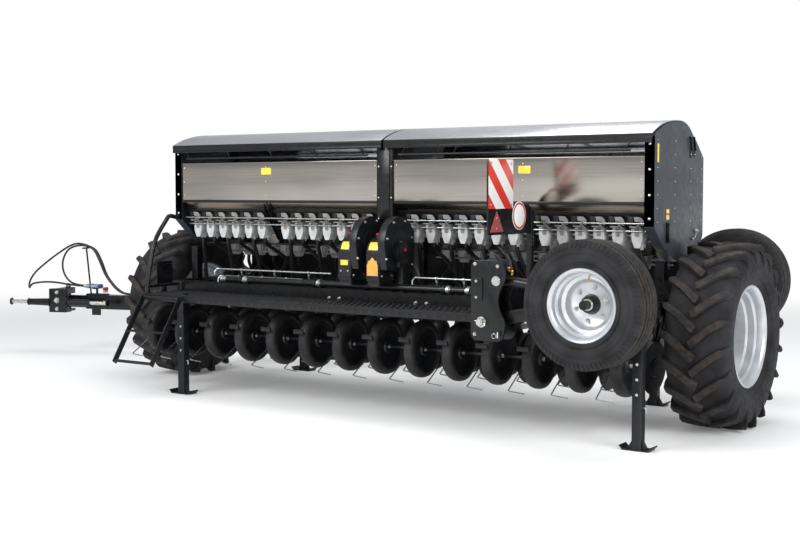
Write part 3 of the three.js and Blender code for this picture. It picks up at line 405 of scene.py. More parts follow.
# ------------------------------------------------------------------ repeated detail
def repeat_tree():
    """Copies of one shape in a row or a ring: each copy steps along and turns round the drill's origin."""
    tree = bpy.data.node_groups.new("repeated_copies", "GeometryNodeTree")
    face = tree.interface
    face.new_socket("Geometry", in_out="INPUT", socket_type="NodeSocketGeometry")
    sockets = {}
    for label, kind in (
        ("Shape", "NodeSocketObject"),
        ("Count", "NodeSocketInt"),
        ("Start", "NodeSocketVector"),
        ("Step", "NodeSocketVector"),
        ("Turn", "NodeSocketVector"),
        ("Finish", "NodeSocketMaterial"),
    ):
        sockets[label] = face.new_socket(label, in_out="INPUT", socket_type=kind).identifier
    face.new_socket("Geometry", in_out="OUTPUT", socket_type="NodeSocketGeometry")
    given = add(tree, "NodeGroupInput")
    shape = add(tree, "GeometryNodeObjectInfo", {"Object": given.outputs["Shape"]})
    spots = add(tree, "GeometryNodePoints", {"Count": given.outputs["Count"]})
    copies = add(
        tree, "GeometryNodeInstanceOnPoints", {
            "Points": spots.outputs[0], "Instance": shape.outputs["Geometry"],
        }
    )
    number = add(tree, "GeometryNodeInputIndex")
    turn = add(
        tree, "ShaderNodeVectorMath", {0: given.outputs["Turn"], "Scale": number.outputs[0]},
        operation="SCALE",
    )
    turned = add(
        tree,
        "GeometryNodeRotateInstances",
        {"Instances": copies.outputs[0], "Rotation": turn.outputs[0], "Local Space": False},
    )
    walk = add(
        tree,
        "ShaderNodeVectorMath",
        {0: number.outputs[0], 1: given.outputs["Step"], 2: given.outputs["Start"]},
        operation="MULTIPLY_ADD",
    )
    placed = add(
        tree,
        "GeometryNodeTranslateInstances",
        {"Instances": turned.outputs[0], "Translation": walk.outputs[0], "Local Space": False},
    )
    real = add(tree, "GeometryNodeRealizeInstances", {0: placed.outputs[0]})
    done = add(
        tree, "GeometryNodeSetMaterial",
        {"Geometry": real.outputs[0], "Material": given.outputs["Finish"]},
    )
    add(tree, "NodeGroupOutput", {0: done.outputs[0]})
    return tree, sockets


def add(tree, kind, inputs=None, **settings):
    """Adds a node with its settings, and links or sets its inputs."""
    node = tree.nodes.new(kind)
    for name, value in settings.items():
        setattr(node, name, value)
    for key, value in (inputs or {}).items():
        socket = node.inputs[key]
        if isinstance(value, bpy.types.NodeSocket):
            tree.links.new(value, socket)
        else:
            socket.default_value = value
    return node


REPEAT, REPEAT_SOCKETS = repeat_tree()


def copies(shape, runs, material):
    """Copies of a shape, as one shape. Each run is (count, start, step, turn in degrees for each copy)."""
    source = bpy.data.meshes.new("source")
    shape.mesh.to_mesh(source)
    model = bpy.data.objects.new("model", source)
    bpy.context.scene.collection.objects.link(model)
    result = Shape()
    for count, start, step, turn in runs:
        carrier = bpy.data.objects.new("carrier", bpy.data.meshes.new("carrier"))
        bpy.context.scene.collection.objects.link(carrier)
        tool = carrier.modifiers.new("repeat", "NODES")
        tool.node_group = REPEAT
        values = {
            "Shape": model,
            "Count": count,
            "Start": start,
            "Step": step,
            "Turn": [math.radians(t) for t in turn],
            "Finish": material,
        }
        for label, value in values.items():
            tool[REPEAT_SOCKETS[label]] = value
        bpy.context.view_layer.update()
        graph = bpy.context.evaluated_depsgraph_get()
        made = bpy.data.meshes.new_from_object(carrier.evaluated_get(graph))
        carrier.modifiers.clear()
        result.mesh.from_mesh(made)
        bpy.data.meshes.remove(made)
        bpy.data.objects.remove(carrier)
    bpy.data.objects.remove(model)
    return result


NO_TURN = (0, 0, 0)
NO_STEP = (0, 0, 0)


def ring(shape, count, centre, axis, material, start=0.0):
    """Copies of a shape round an axis through a centre. The shape is modelled about the origin."""
    turn = [360 / count if a == axis else 0 for a in "xyz"]
    if start:
        shape.move(Matrix.Rotation(math.radians(start), 4, axis.upper()))
    return copies(shape, [(count, centre, NO_STEP, turn)], material)


# ------------------------------------------------------------------ finishes
def hex_colour(text):
    """An sRGB hex colour as linear numbers."""
    parts = [int(text[i : i + 2], 16) / 255 for i in (1, 3, 5)]
    return [*[c / 12.92 if c <= 0.04045 else ((c + 0.055) / 1.055) ** 2.4 for c in parts], 1.0]


class Finish:
    """A material's tree with its shader and object coordinates, and the few steps that most share."""

    def __init__(self, name, roughness, metallic=0.0, coat=0.0, shine=0.5):
        self.material = bpy.data.materials.new(name)
        self.material.use_nodes = True
        self.tree = self.material.node_tree
        self.shader = self.tree.nodes["Principled BSDF"]
        settings = {
            "Roughness": roughness, "Metallic": metallic, "Coat Weight": coat,
            "Specular IOR Level": shine,
        }
        for name, value in settings.items():
            self.shader.inputs[name].default_value = value
        self.spot = add(self.tree, "ShaderNodeTexCoord").outputs["Object"]

    def patches(self, size, stretch=(1, 1, 1), detail=3.0, low=0.35, high=0.65):
        """Soft patches from 0 to 1, of a size in millimetres that may be stretched along an axis."""
        spread = add(
            self.tree, "ShaderNodeMapping", {"Vector": self.spot, "Scale": [1 / s for s in stretch]},
        )
        noise = add(
            self.tree,
            "ShaderNodeTexNoise",
            {"Vector": spread.outputs[0], "Scale": 1 / (size * MM), "Detail": detail},
        )
        ends = {"Value": noise.outputs["Fac"], "From Min": low, "From Max": high}
        return add(self.tree, "ShaderNodeMapRange", ends).outputs[0]

    def tint(self, first, second, share):
        """A colour between two hex colours or sockets by a share."""
        mix = add(self.tree, "ShaderNodeMix", {0: share}, data_type="RGBA")
        for socket, value in ((mix.inputs[6], first), (mix.inputs[7], second)):
            if isinstance(value, str):
                socket.default_value = hex_colour(value)
            else:
                self.tree.links.new(value, socket)
        return mix.outputs[2]

    def span(self, share, low, high):
        """A number from low to high as a share goes from 0 to 1."""
        return add(
            self.tree, "ShaderNodeMapRange", {"Value": share, "To Min": low, "To Max": high},
        ).outputs[0]

    def math(self, operation, *values):
        node = add(
            self.tree, "ShaderNodeMath", dict(enumerate(values)), operation=operation, use_clamp=True,
        )
        return node.outputs[0]

    def colour(self, value):
        if isinstance(value, str):
            self.shader.inputs["Base Color"].default_value = hex_colour(value)
        else:
            self.tree.links.new(value, self.shader.inputs["Base Color"])
        return self

    def rough(self, value):
        self.tree.links.new(value, self.shader.inputs["Roughness"])
        return self

    def bump(self, height, depth, strength=1.0):
        """Relief whose full height is a depth in millimetres."""
        node = add(
            self.tree, "ShaderNodeBump",
            {"Height": height, "Distance": depth * MM, "Strength": strength},
        )
        self.tree.links.new(node.outputs[0], self.shader.inputs["Normal"])
        return self

    def upward(self):
        """1 on faces that look up, 0 on walls."""
        normal = add(self.tree, "ShaderNodeNewGeometry").outputs["Normal"]
        up = add(self.tree, "ShaderNodeSeparateXYZ", {0: normal}).outputs[2]
        return add(
            self.tree, "ShaderNodeMapRange", {"Value": up, "From Min": 0.3, "From Max": 1.0},
        ).outputs[0]


def enamel(name, dark, light, roughness):
    """Powder-coat enamel on steel: faint orange peel, a little dust on what faces up."""
    f = Finish(name, roughness, coat=0.1, shine=0.32)
    f.shader.inputs["Coat Roughness"].default_value = 0.18
    base = f.tint(dark, light, f.patches(140))
    dust = f.math("MULTIPLY", f.math("MULTIPLY", f.upward(), f.patches(60, detail=5)), 0.05)
    f.colour(f.tint(base, "#6b665c", dust))
    f.rough(f.span(f.patches(45, detail=4), roughness - 0.06, roughness + 0.10))
    # real orange peel is about 1 mm across, drawn 5 mm across so that it shows
    f.bump(f.patches(5, low=0.2, high=0.8), 0.05)
    return f.material


def stainless(name, colour, other, roughness):
    """Rolled stainless sheet: bright, with faint rolling streaks along its length."""
    f = Finish(name, roughness, metallic=1.0)
    streaks = f.patches(6, stretch=(60, 1, 1), detail=5, low=0.25, high=0.75)
    clouds = f.patches(420, stretch=(2, 1, 1), detail=2)
    f.colour(f.tint(f.tint(colour, other, clouds), "#efece6", f.math("MULTIPLY", streaks, 0.10)))
    f.rough(f.span(streaks, roughness - 0.04, roughness + 0.06))
    # a sheet of this size is never quite flat: long shallow waves
    f.bump(f.patches(330, stretch=(1.6, 1, 1), detail=1, low=0.2, high=0.8), 1.6)
    return f.material


def plated(name, colour, other, roughness):
    """Zinc-plated steel: small blotches of blue and yellow passivation."""
    f = Finish(name, roughness, metallic=1.0)
    f.colour(f.tint(colour, other, f.patches(14, detail=4)))
    f.rough(f.span(f.patches(6, detail=4), roughness - 0.08, roughness + 0.1))
    f.bump(f.patches(2.5, low=0.2, high=0.8), 0.03)
    return f.material


def moulded(name, dark, light, roughness):
    """Injection-moulded plastic: fine even grain, slightly darker in soft patches."""
    f = Finish(name, roughness, shine=0.36)
    f.colour(f.tint(dark, light, f.patches(50)))
    f.rough(f.span(f.patches(20), roughness - 0.05, roughness + 0.07))
    # mould grain is about 0.3 mm, drawn 1.2 mm wide so that it shows
    f.bump(f.patches(1.2, detail=1, low=0.2, high=0.8), 0.04)
    return f.material


def rubber(name, dark, dust, axis=None, centre=(0, 0, 0), worn=0.0, amount=0.5, roughness=0.72):
    """Vulcanised rubber: dull, with dry earth dust on the parts furthest from the wheel's axle."""
    f = Finish(name, roughness, shine=0.25)
    spots = f.patches(38, detail=6)
    if axis:
        flat = [0 if a == axis else 1 for a in "xyz"]
        moved = add(f.tree, "ShaderNodeVectorMath", {0: f.spot, 1: row(*centre)}, operation="SUBTRACT")
        kept = add(f.tree, "ShaderNodeVectorMath", {0: moved.outputs[0], 1: flat}, operation="MULTIPLY")
        reach = add(
            f.tree, "ShaderNodeVectorMath", {0: kept.outputs[0]}, operation="LENGTH",
        ).outputs["Value"]
        ends = {"Value": reach, "From Min": (worn - 26) * MM, "From Max": (worn - 2) * MM}
        spots = f.math("MULTIPLY", spots, add(f.tree, "ShaderNodeMapRange", ends).outputs[0])
    base = f.tint(dark, "#2a2a2c", f.patches(120))
    f.colour(f.tint(base, dust, f.math("MULTIPLY", spots, amount)))
    f.rough(f.span(f.patches(30, detail=5), roughness - 0.1, roughness + 0.12))
    f.bump(f.patches(2.2, detail=4, low=0.2, high=0.8), 0.12)
    return f.material


def silver_paint():
    """Silver wheel enamel with fine metal flake."""
    f = Finish("silver_wheel_enamel", 0.34, metallic=0.55, coat=0.3)
    flake = f.patches(1.5, detail=1, low=0.3, high=0.7)
    base = f.tint("#b7bac0", "#cfd2d6", f.patches(110))
    f.colour(f.tint(base, "#e4e6e8", f.math("MULTIPLY", flake, 0.25)))
    f.rough(f.span(f.patches(40), 0.28, 0.42))
    f.bump(f.patches(3, low=0.2, high=0.8), 0.03)
    return f.material


def foil(name, colour, roughness=0.38):
    """Printed vinyl film on its backing: even colour and a faint cell pattern."""
    f = Finish(name, roughness, coat=0.3)
    cells = add(
        f.tree, "ShaderNodeTexVoronoi", {"Vector": f.spot, "Scale": 1 / (3 * MM)},
    ).outputs["Distance"]
    f.colour(f.tint(colour, "#ffffff", f.math("MULTIPLY", cells, 0.10)))
    f.bump(cells, 0.05, 0.5)
    return f.material


STRIPE_PITCH = 218  # mm of run and rise together between two red stripes
STRIPE_START = 90
RED_SHARE = 0.47


def striped_board(near, low):
    """Retro-reflective sheet on an upright board that faces +X: red and white stripes at 45 degrees."""
    f = Finish("red_white_reflective_sheet", 0.35, coat=0.4)

    def step(operation, *values):
        return add(f.tree, "ShaderNodeMath", dict(enumerate(values)), operation=operation).outputs[0]

    start = row(0, near + STRIPE_START, low)
    parts = add(f.tree, "ShaderNodeSeparateXYZ", {0: f.spot}).outputs
    run = step("SUBTRACT", parts[1], start.y)
    rise = step("SUBTRACT", parts[2], start.z)
    turns = step("DIVIDE", step("ADD", run, rise), STRIPE_PITCH * MM)
    share = step("GREATER_THAN", step("FRACT", turns), 1 - RED_SHARE)
    cells = add(
        f.tree, "ShaderNodeTexVoronoi", {"Vector": f.spot, "Scale": 1 / (4 * MM)},
    ).outputs["Distance"]
    f.colour(f.tint("#e6e3df", "#cf3427", share))
    f.bump(cells, 0.08, 0.5)
    return f.material


def hose_rubber():
    """Smooth hydraulic hose: wrapped cloth marks in the cover."""
    f = Finish("wrapped_hose_rubber", 0.42)
    wave = add(
        f.tree,
        "ShaderNodeTexWave",
        {"Vector": f.spot, "Scale": 1 / (9 * MM), "Distortion": 1.5, "Detail": 1.0},
        bands_direction="DIAGONAL",
    ).outputs["Fac"]
    f.colour(f.tint("#0e0e10", "#232326", f.math("MULTIPLY", wave, 0.5)))
    f.bump(wave, 0.06, 0.6)
    return f.material


def floor_finish():
    """Plain pale floor that turns to white far from the drill."""
    f = Finish("pale_floor", 0.9)
    f.colour("#f4f4f3")
    ray = add(f.tree, "ShaderNodeLightPath")
    seen = f.math("ADD", ray.outputs["Is Camera Ray"], ray.outputs["Is Glossy Ray"])
    reach = add(f.tree, "ShaderNodeVectorMath", {0: f.spot}, operation="LENGTH").outputs["Value"]
    ends = {"Value": reach, "From Min": 4.5, "From Max": 11.0}
    far = add(f.tree, "ShaderNodeMapRange", ends, interpolation_type="SMOOTHSTEP").outputs[0]
    glow = add(f.tree, "ShaderNodeEmission", {"Color": (1, 1, 1, 1), "Strength": 1.0})
    share = f.math("MULTIPLY", f.math("ADD", f.math("MULTIPLY", far, 0.9), 0.1), seen)
    mix = add(f.tree, "ShaderNodeMixShader", {0: share, 1: f.shader.outputs[0], 2: glow.outputs[0]})
    out = f.tree.nodes["Material Output"]
    f.tree.links.new(mix.outputs[0], out.inputs["Surface"])
    return f.material


BLACK = enamel("black_enamel", "#08090a", "#0e0f12", 0.30)
SATIN = enamel("satin_black_enamel", "#090a0c", "#101114", 0.42)
GREY = enamel("slate_grey_enamel", "#34393f", "#3d4248", 0.36)
PANEL = stainless("polished_stainless_sheet", "#87827c", "#98938c", 0.16)
# brown-beige tint for the trough's sloped sheet: painted reflection of earth ground under the machine
GROUND_REFLECTION_STEEL = stainless("trough_sheet_painted_ground_reflection", "#6f655a", "#7d7264", 0.24)
LID_STEEL = stainless("rolled_stainless_lid", "#c4c4c8", "#dadade", 0.26)
ZINC = plated("zinc_plated_steel", "#a9b2ba", "#c5c4b8", 0.34)
BOLT = plated("bright_zinc_bolts", "#bfc5ca", "#d0cdbf", 0.28)
WIRE = plated("bright_spring_wire", "#8e9194", "#b0b0ac", 0.3)
BRASS = plated("yellow_passivated_brass", "#b8923f", "#d0ad5c", 0.3)
CHROME = plated("hard_chrome", "#d2d5d8", "#dcdee0", 0.08)
CUP = moulded("grey_moulded_nylon", "#b3b4b5", "#cbcbcb", 0.46)
CUP_DARK = moulded("dark_grey_moulded_nylon", "#787674", "#8c8986", 0.45)
COVER = moulded("black_moulded_cover", "#101113", "#18191c", 0.36)
TUBE = moulded("black_ribbed_seed_tube", "#0c0c0e", "#151517", 0.4)
DISC = enamel("dark_disc_steel", "#121315", "#1e1f22", 0.34)
PRESS = rubber("smooth_press_wheel_rubber", "#101012", "#3c362e", amount=0.18, roughness=0.5)
RIM = silver_paint()
YELLOW = foil("yellow_vinyl_film", "#eccd00")
AMBER = foil("amber_vinyl_film", "#f09a00")
WHITE = foil("white_reflective_film", "#f0f0ee")
RED = foil("red_reflective_film", "#c4241f")
RED_LENS = foil("red_reflector_lens", "#8e1512", 0.2)
RED_CAP = moulded("red_moulded_cap", "#b3201b", "#c32c25", 0.4)
BLUE = moulded("blue_moulded_cap", "#1c4f8f", "#2a62a6", 0.38)
HOSE = hose_rubber()

SLOTS = {
    "black_paint": (BLACK, SATIN, DISC),
    "grey_paint": (GREY,),
    "stainless": (PANEL, GROUND_REFLECTION_STEEL, LID_STEEL),
    "zinc": (ZINC, BOLT, WIRE, BRASS),
    "chrome": (CHROME,),
    "rim_silver": (RIM,),
    "grey_plastic": (CUP, CUP_DARK),
    "black_plastic": (COVER, RED_CAP, BLUE),
    "tube_plastic": (TUBE,),
    "tyre_rubber": (PRESS,),
    "hose_rubber": (HOSE,),
    "sign_sheet": (YELLOW, AMBER, WHITE, RED, RED_LENS),
}
SLOT_OF = {material.name: slot for slot, materials in SLOTS.items() for material in materials}


# ------------------------------------------------------------------ the drawbar's own line
SWING = Vector((0, 1483, 0))
HITCH = Vector((-4230, 330, 0))
DRAW = (SWING - HITCH).normalized()
DRAW_SIDE = Vector((-DRAW.y, DRAW.x, 0))


def on_drawbar(along, z, aside=0.0):
    """A point by its distance from the hitch pin, its height, and its distance to the bar's left."""
    return HITCH + DRAW * along + DRAW_SIDE * aside + Vector((0, 0, z))


# ------------------------------------------------------------------ hoses
HOSES = {
    "hose_outer": [
        (900, 559.3, 34), (780, 560, 34), (640, 562, 34), (561, 580, 34), (476, 645, 34),
        (402, 740, 34), (350, 861, 34), (290, 965, 34), (205, 1009, 34), (100, 1030, 34), (3, 1007, 34),
        (-142, 925, 34), (-289, 825, 34), (-392, 742, 34), (-448, 660, 30), (-440, 600, 10),
        (-380, 640, -20), (-250, 660, -30), (-120, 660, -34), (20, 645, -36), (150, 634, -36),
        (230, 632, -36),
    ],
    "hose_inner": [
        (900, 559.3, 0), (780, 560, 0), (640, 564, 0), (550, 590, 0), (470, 660, 0), (400, 752, 0),
        (345, 870, 0), (285, 970, 2), (205, 1009, 4), (100, 1010, 4), (10, 975, 4), (-43, 905, 4),
        (-61, 825, 2), (-40, 740, 0), (20, 670, 0), (110, 640, 0), (230, 632, 0),
    ],
}
HOSE_RADIUS = 9


def hoses():
    """Two free hydraulic hoses from the clamp on the drawbar, over the hook, to the parked couplers."""
    for name, spots in HOSES.items():
        line = smooth_line([on_drawbar(*spot) for spot in spots], 8)
        shape = Shape().tube(line, HOSE_RADIUS, 14)
        hose = piece(f"{name}_rubber", shape, HOSE, "drawbar", replaces=[name])


hoses()


# ------------------------------------------------------------------ field wheels
def lug():
    """One cleat of the field tyre's tread, from the middle out and down the shoulder."""
    stations = [
        # across, turn, root radius, crown across, crown radius, half width
        (-14, 0.6, 570, -14, 600, 27),
        (-2, 0.0, 570, -2, 600.5, 29),
        (40, -3.6, 570, 40, 600.5, 27),
        (90, -7.6, 568, 90, 600, 26),
        (138, -11.0, 562, 140, 598, 26),
        (176, -13.4, 548, 182, 594, 26),
        (194, -14.8, 530, 204, 580, 25),
        (200, -15.8, 500, 211, 540, 22),
        (203, -16.6, 468, 209, 492, 19),
        (203, -17.0, 452, 204, 460, 16),
    ]
    new = bmesh.new()
    rows = []
    for i, (across, turn, root, top_across, top, half) in enumerate(stations):
        before, after = stations[max(i - 1, 0)], stations[min(i + 1, len(stations) - 1)]
        run = Vector((after[0] - before[0], math.radians(after[1] - before[1]) * 585))
        if i >= 6:
            run = Vector((0.45, -1.0))
        way = Vector((-run.y, run.x)).normalized()
        corners = []
        for side, spread, radius, middle in (
            (-1, half * 1.15, root, across), (-1, half * 0.78, top, top_across),
            (1, half * 0.78, top, top_across), (1, half * 1.15, root, across),
        ):
            a = middle + way.x * spread * side * (0.2 if i >= 6 else 1)
            t = math.radians(180 + turn) + way.y * spread * side / 585
            corners.append(new.verts.new((a, radius * math.cos(t), radius * math.sin(t))))
        rows.append(corners)
    skin(new, rows)
    return Shape().absorb(new, 3.5, 2)


def field_wheels():
    """Wide low-pressure traction tyres on deep silver rims."""
    lugs_round = 20
    half_wall = [
        (162, 306), (166, 322), (170, 333), (176, 338), (181, 352), (190, 372), (194, 374), (199, 392),
        (205, 425), (207, 455), (204, 490), (198, 520), (186, 545), (166, 560), (130, 568), (70, 572),
        (20, 573),
    ]
    for side, s in SIDES:
        low, high = span(f"field_tyre_{side}")
        hub = (low + high) / 2
        label = f"traction_tyre_rubber_{side}"
        tyre_rubber = rubber(label, "#131315", "#4b4238", "x", hub, worn=600, amount=0.55, roughness=0.66)
        profile = half_wall + [(-a, r) for a, r in reversed(half_wall)]
        shape = Shape().turned("x", hub, profile, 96)
        for way in (1, -1):
            cleat = lug() if way > 0 else lug().mirrored("x")
            shape.add(ring(cleat, lugs_round, hub, "x", tyre_rubber, 0 if way > 0 else 180 / lugs_round))
        body = f"field_wheel_{side}"
        piece(f"field_tyre_{side}_tread", shape, tyre_rubber, body, "tyre_rubber", [f"field_tyre_{side}"])

        inside = [
            (172, 329), (175, 322), (171, 313), (160, 303), (150, 297), (116, 295), (110, 288),
            (104, 279), (62, 277), (56, 270), (50, 262), (-34, 260), (-42, 270), (-48, 279),
            (-108, 281), (-118, 295), (-150, 297), (-160, 303), (-171, 313), (-175, 322), (-172, 329),
        ]
        outside = [
            (-165, 331), (-163, 318), (-152, 304.5), (-112, 304), (-44, 288), (-38, 270), (46, 270),
            (58, 286), (112, 304), (152, 304.5), (163, 318), (165, 331),
        ]
        dish = [
            (-48, 262), (-60, 244), (-80, 214), (-90, 190), (-92, 150), (-84, 120), (-84, 76),
            (-96, 76), (-96, 120), (-104, 150), (-102, 192), (-92, 220), (-70, 250), (-58, 266),
        ]
        rim = Shape().turned("x", (0, 0, 0), inside + outside, 96).turned("x", (0, 0, 0), dish, 72)
        nuts = Shape()
        nuts.nut((-92, 137, 0), (1, 0, 0), 30, 18, 14)
        studs = ring(nuts, 10, (0, 0, 0), "x", BOLT)
        barrel = [(-240, 0), (-240, 62), (-150, 70), (-96, 74), (-40, 62), (-36, 56), (-36, 0)]
        hub_body = Shape().turned("x", (0, 0, 0), barrel, 48)
        cap = Shape().turned("x", (0, 0, 0), [(-36, 0), (-36, 40), (-14, 38), (-6, 30), (-4, 0)], 32)
        for name, part, material in (
            ("rim", rim, RIM),
            ("wheel_nuts", studs, BOLT),
            ("hub", hub_body, BLACK),
            ("hub_cap", cap, ZINC),
        ):
            right = part if s > 0 else part.mirrored("x")
            right.move(hub)
            gone = [f"field_rim_{side}"] if name == "rim" else []
            piece(f"field_{name}_{side}", right, material, body, replaces=gone)


field_wheels()


# ------------------------------------------------------------------ transport wheels
def transport_wheels():
    """Ribbed implement tyres on six-stud silver rims, with a castle nut on the stub axle."""
    for end, way in ENDS:
        low, high = span(f"transport_tyre_{end}")
        hub = (low + high) / 2
        out = -way  # the open side of the rim looks away from the drill
        tyre_rubber = rubber(
            f"ribbed_tyre_rubber_{end}", "#161617", "#4a4238", "y", hub, worn=380, amount=0.35, roughness=0.7
        )
        ribs = []
        for middle in (-82, -41, 0, 41, 82):
            wide = 16 if abs(middle) < 60 else 15
            rise = 380 if abs(middle) < 60 else 377
            ribs += [
                (middle - wide - 2, 370), (middle - wide, rise), (middle + wide, rise),
                (middle + wide + 2, 370),
            ]
        wall = [
            (107, 197), (109, 212), (116, 224), (117, 236), (126, 252), (130, 285), (128, 315),
            (119, 342), (108, 362),
        ]
        profile = [(-a, r) for a, r in wall] + ribs + [(a, r) for a, r in reversed(wall)]
        zigzag = {len(wall) + k for k in range(2, len(ribs) - 2)}
        shape = Shape().turned(
            "y", hub, profile, 156, wobble=lambda k, i: (3.2 if i % 2 else -3.2) if k in zigzag else 0
        )
        for a in (-1, 1):
            sipe = Shape().bar((-9, a * 122, 336), (-9, a * 100, 372), 14, 9, 2)
            shape.add(ring(sipe, 78, hub, "y", tyre_rubber))
        for radius in (242, 300):
            bead = [
                (out * 124, radius), (out * 131, radius + 1.5), (out * 131, radius + 4),
                (out * 124, radius + 6),
            ]
            shape.turned("y", hub, bead, 96)
        body = f"transport_wheel_{end}"
        piece(
            f"transport_tyre_{end}_tread", shape, tyre_rubber, body, "tyre_rubber",
            [f"transport_tyre_{end}"],
        )

        face = [
            (114, 217), (118, 212), (114, 204), (106, 196), (98, 190), (70, 188), (64, 182), (58, 174),
            (20, 172), (-30, 172), (-40, 184), (-100, 190), (-112, 204), (-116, 212), (-112, 217),
        ]
        back = [
            (-106, 215), (-104, 204), (-96, 196.2), (-46, 192), (-26, 180), (54, 180), (66, 194),
            (96, 196.2), (104, 204), (107, 215),
        ]
        dish = [
            (16, 176), (10, 150), (-12, 134), (-22, 122), (-24, 60), (-32, 60), (-32, 124), (-22, 140),
            (2, 158), (8, 176),
        ]
        rim = Shape()
        for profile in (face + back, dish):
            rim.turned("y", (0, 0, 0), [(out * a, r) for a, r in profile], 72)
        nuts = Shape().nut((0, out * -24, 98), (0, out, 0), 22, 15, 12)
        studs = ring(nuts, 6, (0, 0, 0), "y", BOLT, 12)
        body_side = ((-60, 0), (-60, 58), (-20, 58), (10, 52), (22, 46), (24, 0))
        boss = Shape().turned("y", (0, 0, 0), [(out * a, r) for a, r in body_side], 40)
        collar = ((22, 0), (22, 34), (30, 36), (36, 30), (36, 0))
        nut = Shape().turned("y", (0, 0, 0), [(out * a, r) for a, r in collar], 32)
        nut.nut((0, out * 34, 0), (0, out, 0), 44, 22, 4, False)
        valve = Shape().rod((20, out * 40, 176), (26, out * 66, 158), 5, 12)
        valve.rod((26, out * 66, 158), (27, out * 74, 153), 6, 12)
        for name, part, material in (
            ("rim", rim, RIM),
            ("wheel_nuts", studs, BOLT),
            ("hub", boss, BLACK),
            ("castle_nut", nut, BOLT),
            ("valve", valve, BRASS),
        ):
            part.move(hub)
            gone = [f"transport_rim_{end}"] if name == "rim" else []
            piece(f"transport_{name}_{end}", part, material, body, replaces=gone)


transport_wheels()

# ------------------------------------------------------------------ coulters
RANKS = {
    # rank: rows, press wheel y, rail y, rail z
    "rear": (14, -690, 20, 650),
    "front": (13, -300, 400, 600),
}
ROW_STEP = 300
PRESS_Z = 450
DISC_AHEAD, DISC_Z = 400, 392
ARM_X = -59  # an arm lies beside its wheel
LIFT_X, LIFT_Y = 975, 388  # the lift cylinders


def row_run(count):
    """The run of copies for one rank of rows."""
    return [(count, (-(count - 1) / 2 * ROW_STEP, 0, 0), (ROW_STEP, 0, 0), NO_TURN)]


def coulter_arm(press_y, rail_y, rail_z):
    """One pressed arm with its clamp on the rail, disc boss and saddle over the press wheel's axle."""
    disc_y = press_y + DISC_AHEAD
    shape = Shape()
    side = [
        (rail_y - 20, rail_z + 26, 10), (disc_y + 40, DISC_Z + 62, 60), (disc_y - 60, DISC_Z + 56, 60),
        (press_y + 60, PRESS_Z + 34, 30), (press_y - 30, PRESS_Z + 34, 18),
        (press_y - 30, PRESS_Z - 24, 8), (press_y + 26, PRESS_Z - 24, 8),
        (disc_y - 50, DISC_Z - 30, 40), (disc_y + 40, DISC_Z - 26, 40), (rail_y - 20, rail_z - 22, 10),
    ]
    shape.plate("x", rounded(side, 10), ARM_X - 6, ARM_X + 6, 2)
    shape.box((ARM_X - 24, rail_y - 34, rail_z - 34), (ARM_X + 24, rail_y - 26, rail_z + 34), 2)
    shape.box((ARM_X - 24, rail_y + 26, rail_z - 34), (ARM_X + 24, rail_y + 33, rail_z + 34), 2)
    shape.bar((ARM_X, rail_y - 30, rail_z), (ARM_X, rail_y - 84, rail_z - 30), 30, 52, 3)
    shape.rod((ARM_X - 4, disc_y, DISC_Z), (-14, disc_y, DISC_Z), 24, 20, 2)
    shape.rod((ARM_X + 4, press_y, PRESS_Z), (-42, press_y, PRESS_Z), 16, 16)
    # scraper that hooks over the press wheel's crown
    shape.bar((ARM_X, press_y - 26, PRESS_Z + 24), (ARM_X + 6, press_y - 96, PRESS_Z + 60), 10, 26, 2)
    shape.bar((ARM_X + 6, press_y - 96, PRESS_Z + 60), (ARM_X + 8, press_y - 186, PRESS_Z + 86), 8, 22, 2)
    shape.box((ARM_X + 4, press_y - 214, PRESS_Z + 66), (30, press_y - 202, PRESS_Z + 98), 2)
    shape.bar((ARM_X + 8, press_y - 182, PRESS_Z + 86), (ARM_X + 8, press_y - 210, PRESS_Z + 84), 8, 22, 2)
    return shape


def disc_pair(press_y):
    """Two thin cutting discs in a slight V that meet low in front."""
    disc_y = press_y + DISC_AHEAD
    shape = Shape()
    for s in (-1, 1):
        blade = Shape().turned("x", (0, 0, 0), [(-2, 0), (-2, 150), (0, 171), (2, 150), (2, 0)], 48)
        blade.turned(
            "x", (0, 0, 0),
            [(s * 2, 0), (s * 2, 62), (s * 9, 54), (s * 10, 30), (s * 16, 26), (s * 16, 0)], 28,
        )
        turn = Matrix.Rotation(math.radians(-4 * s), 4, "Z") @ Matrix.Rotation(math.radians(3 * s), 4, "Y")
        shape.add(blade.move(Matrix.Translation((s * 15, disc_y, DISC_Z)) @ turn))
    return shape


def tine(press_y):
    """A spring-wire covering tine with its coil behind the wheel and a foot bent along the row."""
    heel = Vector((ARM_X - 8, press_y - 20, PRESS_Z - 8))
    turns = []
    for i in range(25):
        t = math.radians(90 + 30 * i)
        turns.append(heel + Vector((-i * 0.9, 17 * math.cos(t), 17 * math.sin(t) - 17)))
    tip = Vector((ARM_X - 4, press_y - 306, PRESS_Z - 172))
    foot = [tip + Vector((10, -5, -3)), tip + Vector((60, -12, -6)), tip + Vector((122, -18, -9))]
    return Shape().tube(turns + [heel + Vector((-20, -60, -50)), tip] + foot, 4.2, 8)


def press_wheel():
    """A narrow press wheel: rounded rubber round a dished face."""
    half = [(30, 146), (37, 152), (40, 164), (38, 178), (30, 189), (16, 194), (0, 195)]
    return Shape().turned("x", (0, 0, 0), half + [(-a, r) for a, r in reversed(half[:-1])], 44)


def press_face():
    """The dished black face of a press wheel."""
    half = [(14, 0), (14, 22), (24, 26), (24, 40), (12, 48), (12, 110), (22, 128), (28, 148)]
    return Shape().turned("x", (0, 0, 0), half + [(-a, r) for a, r in reversed(half)], 36)


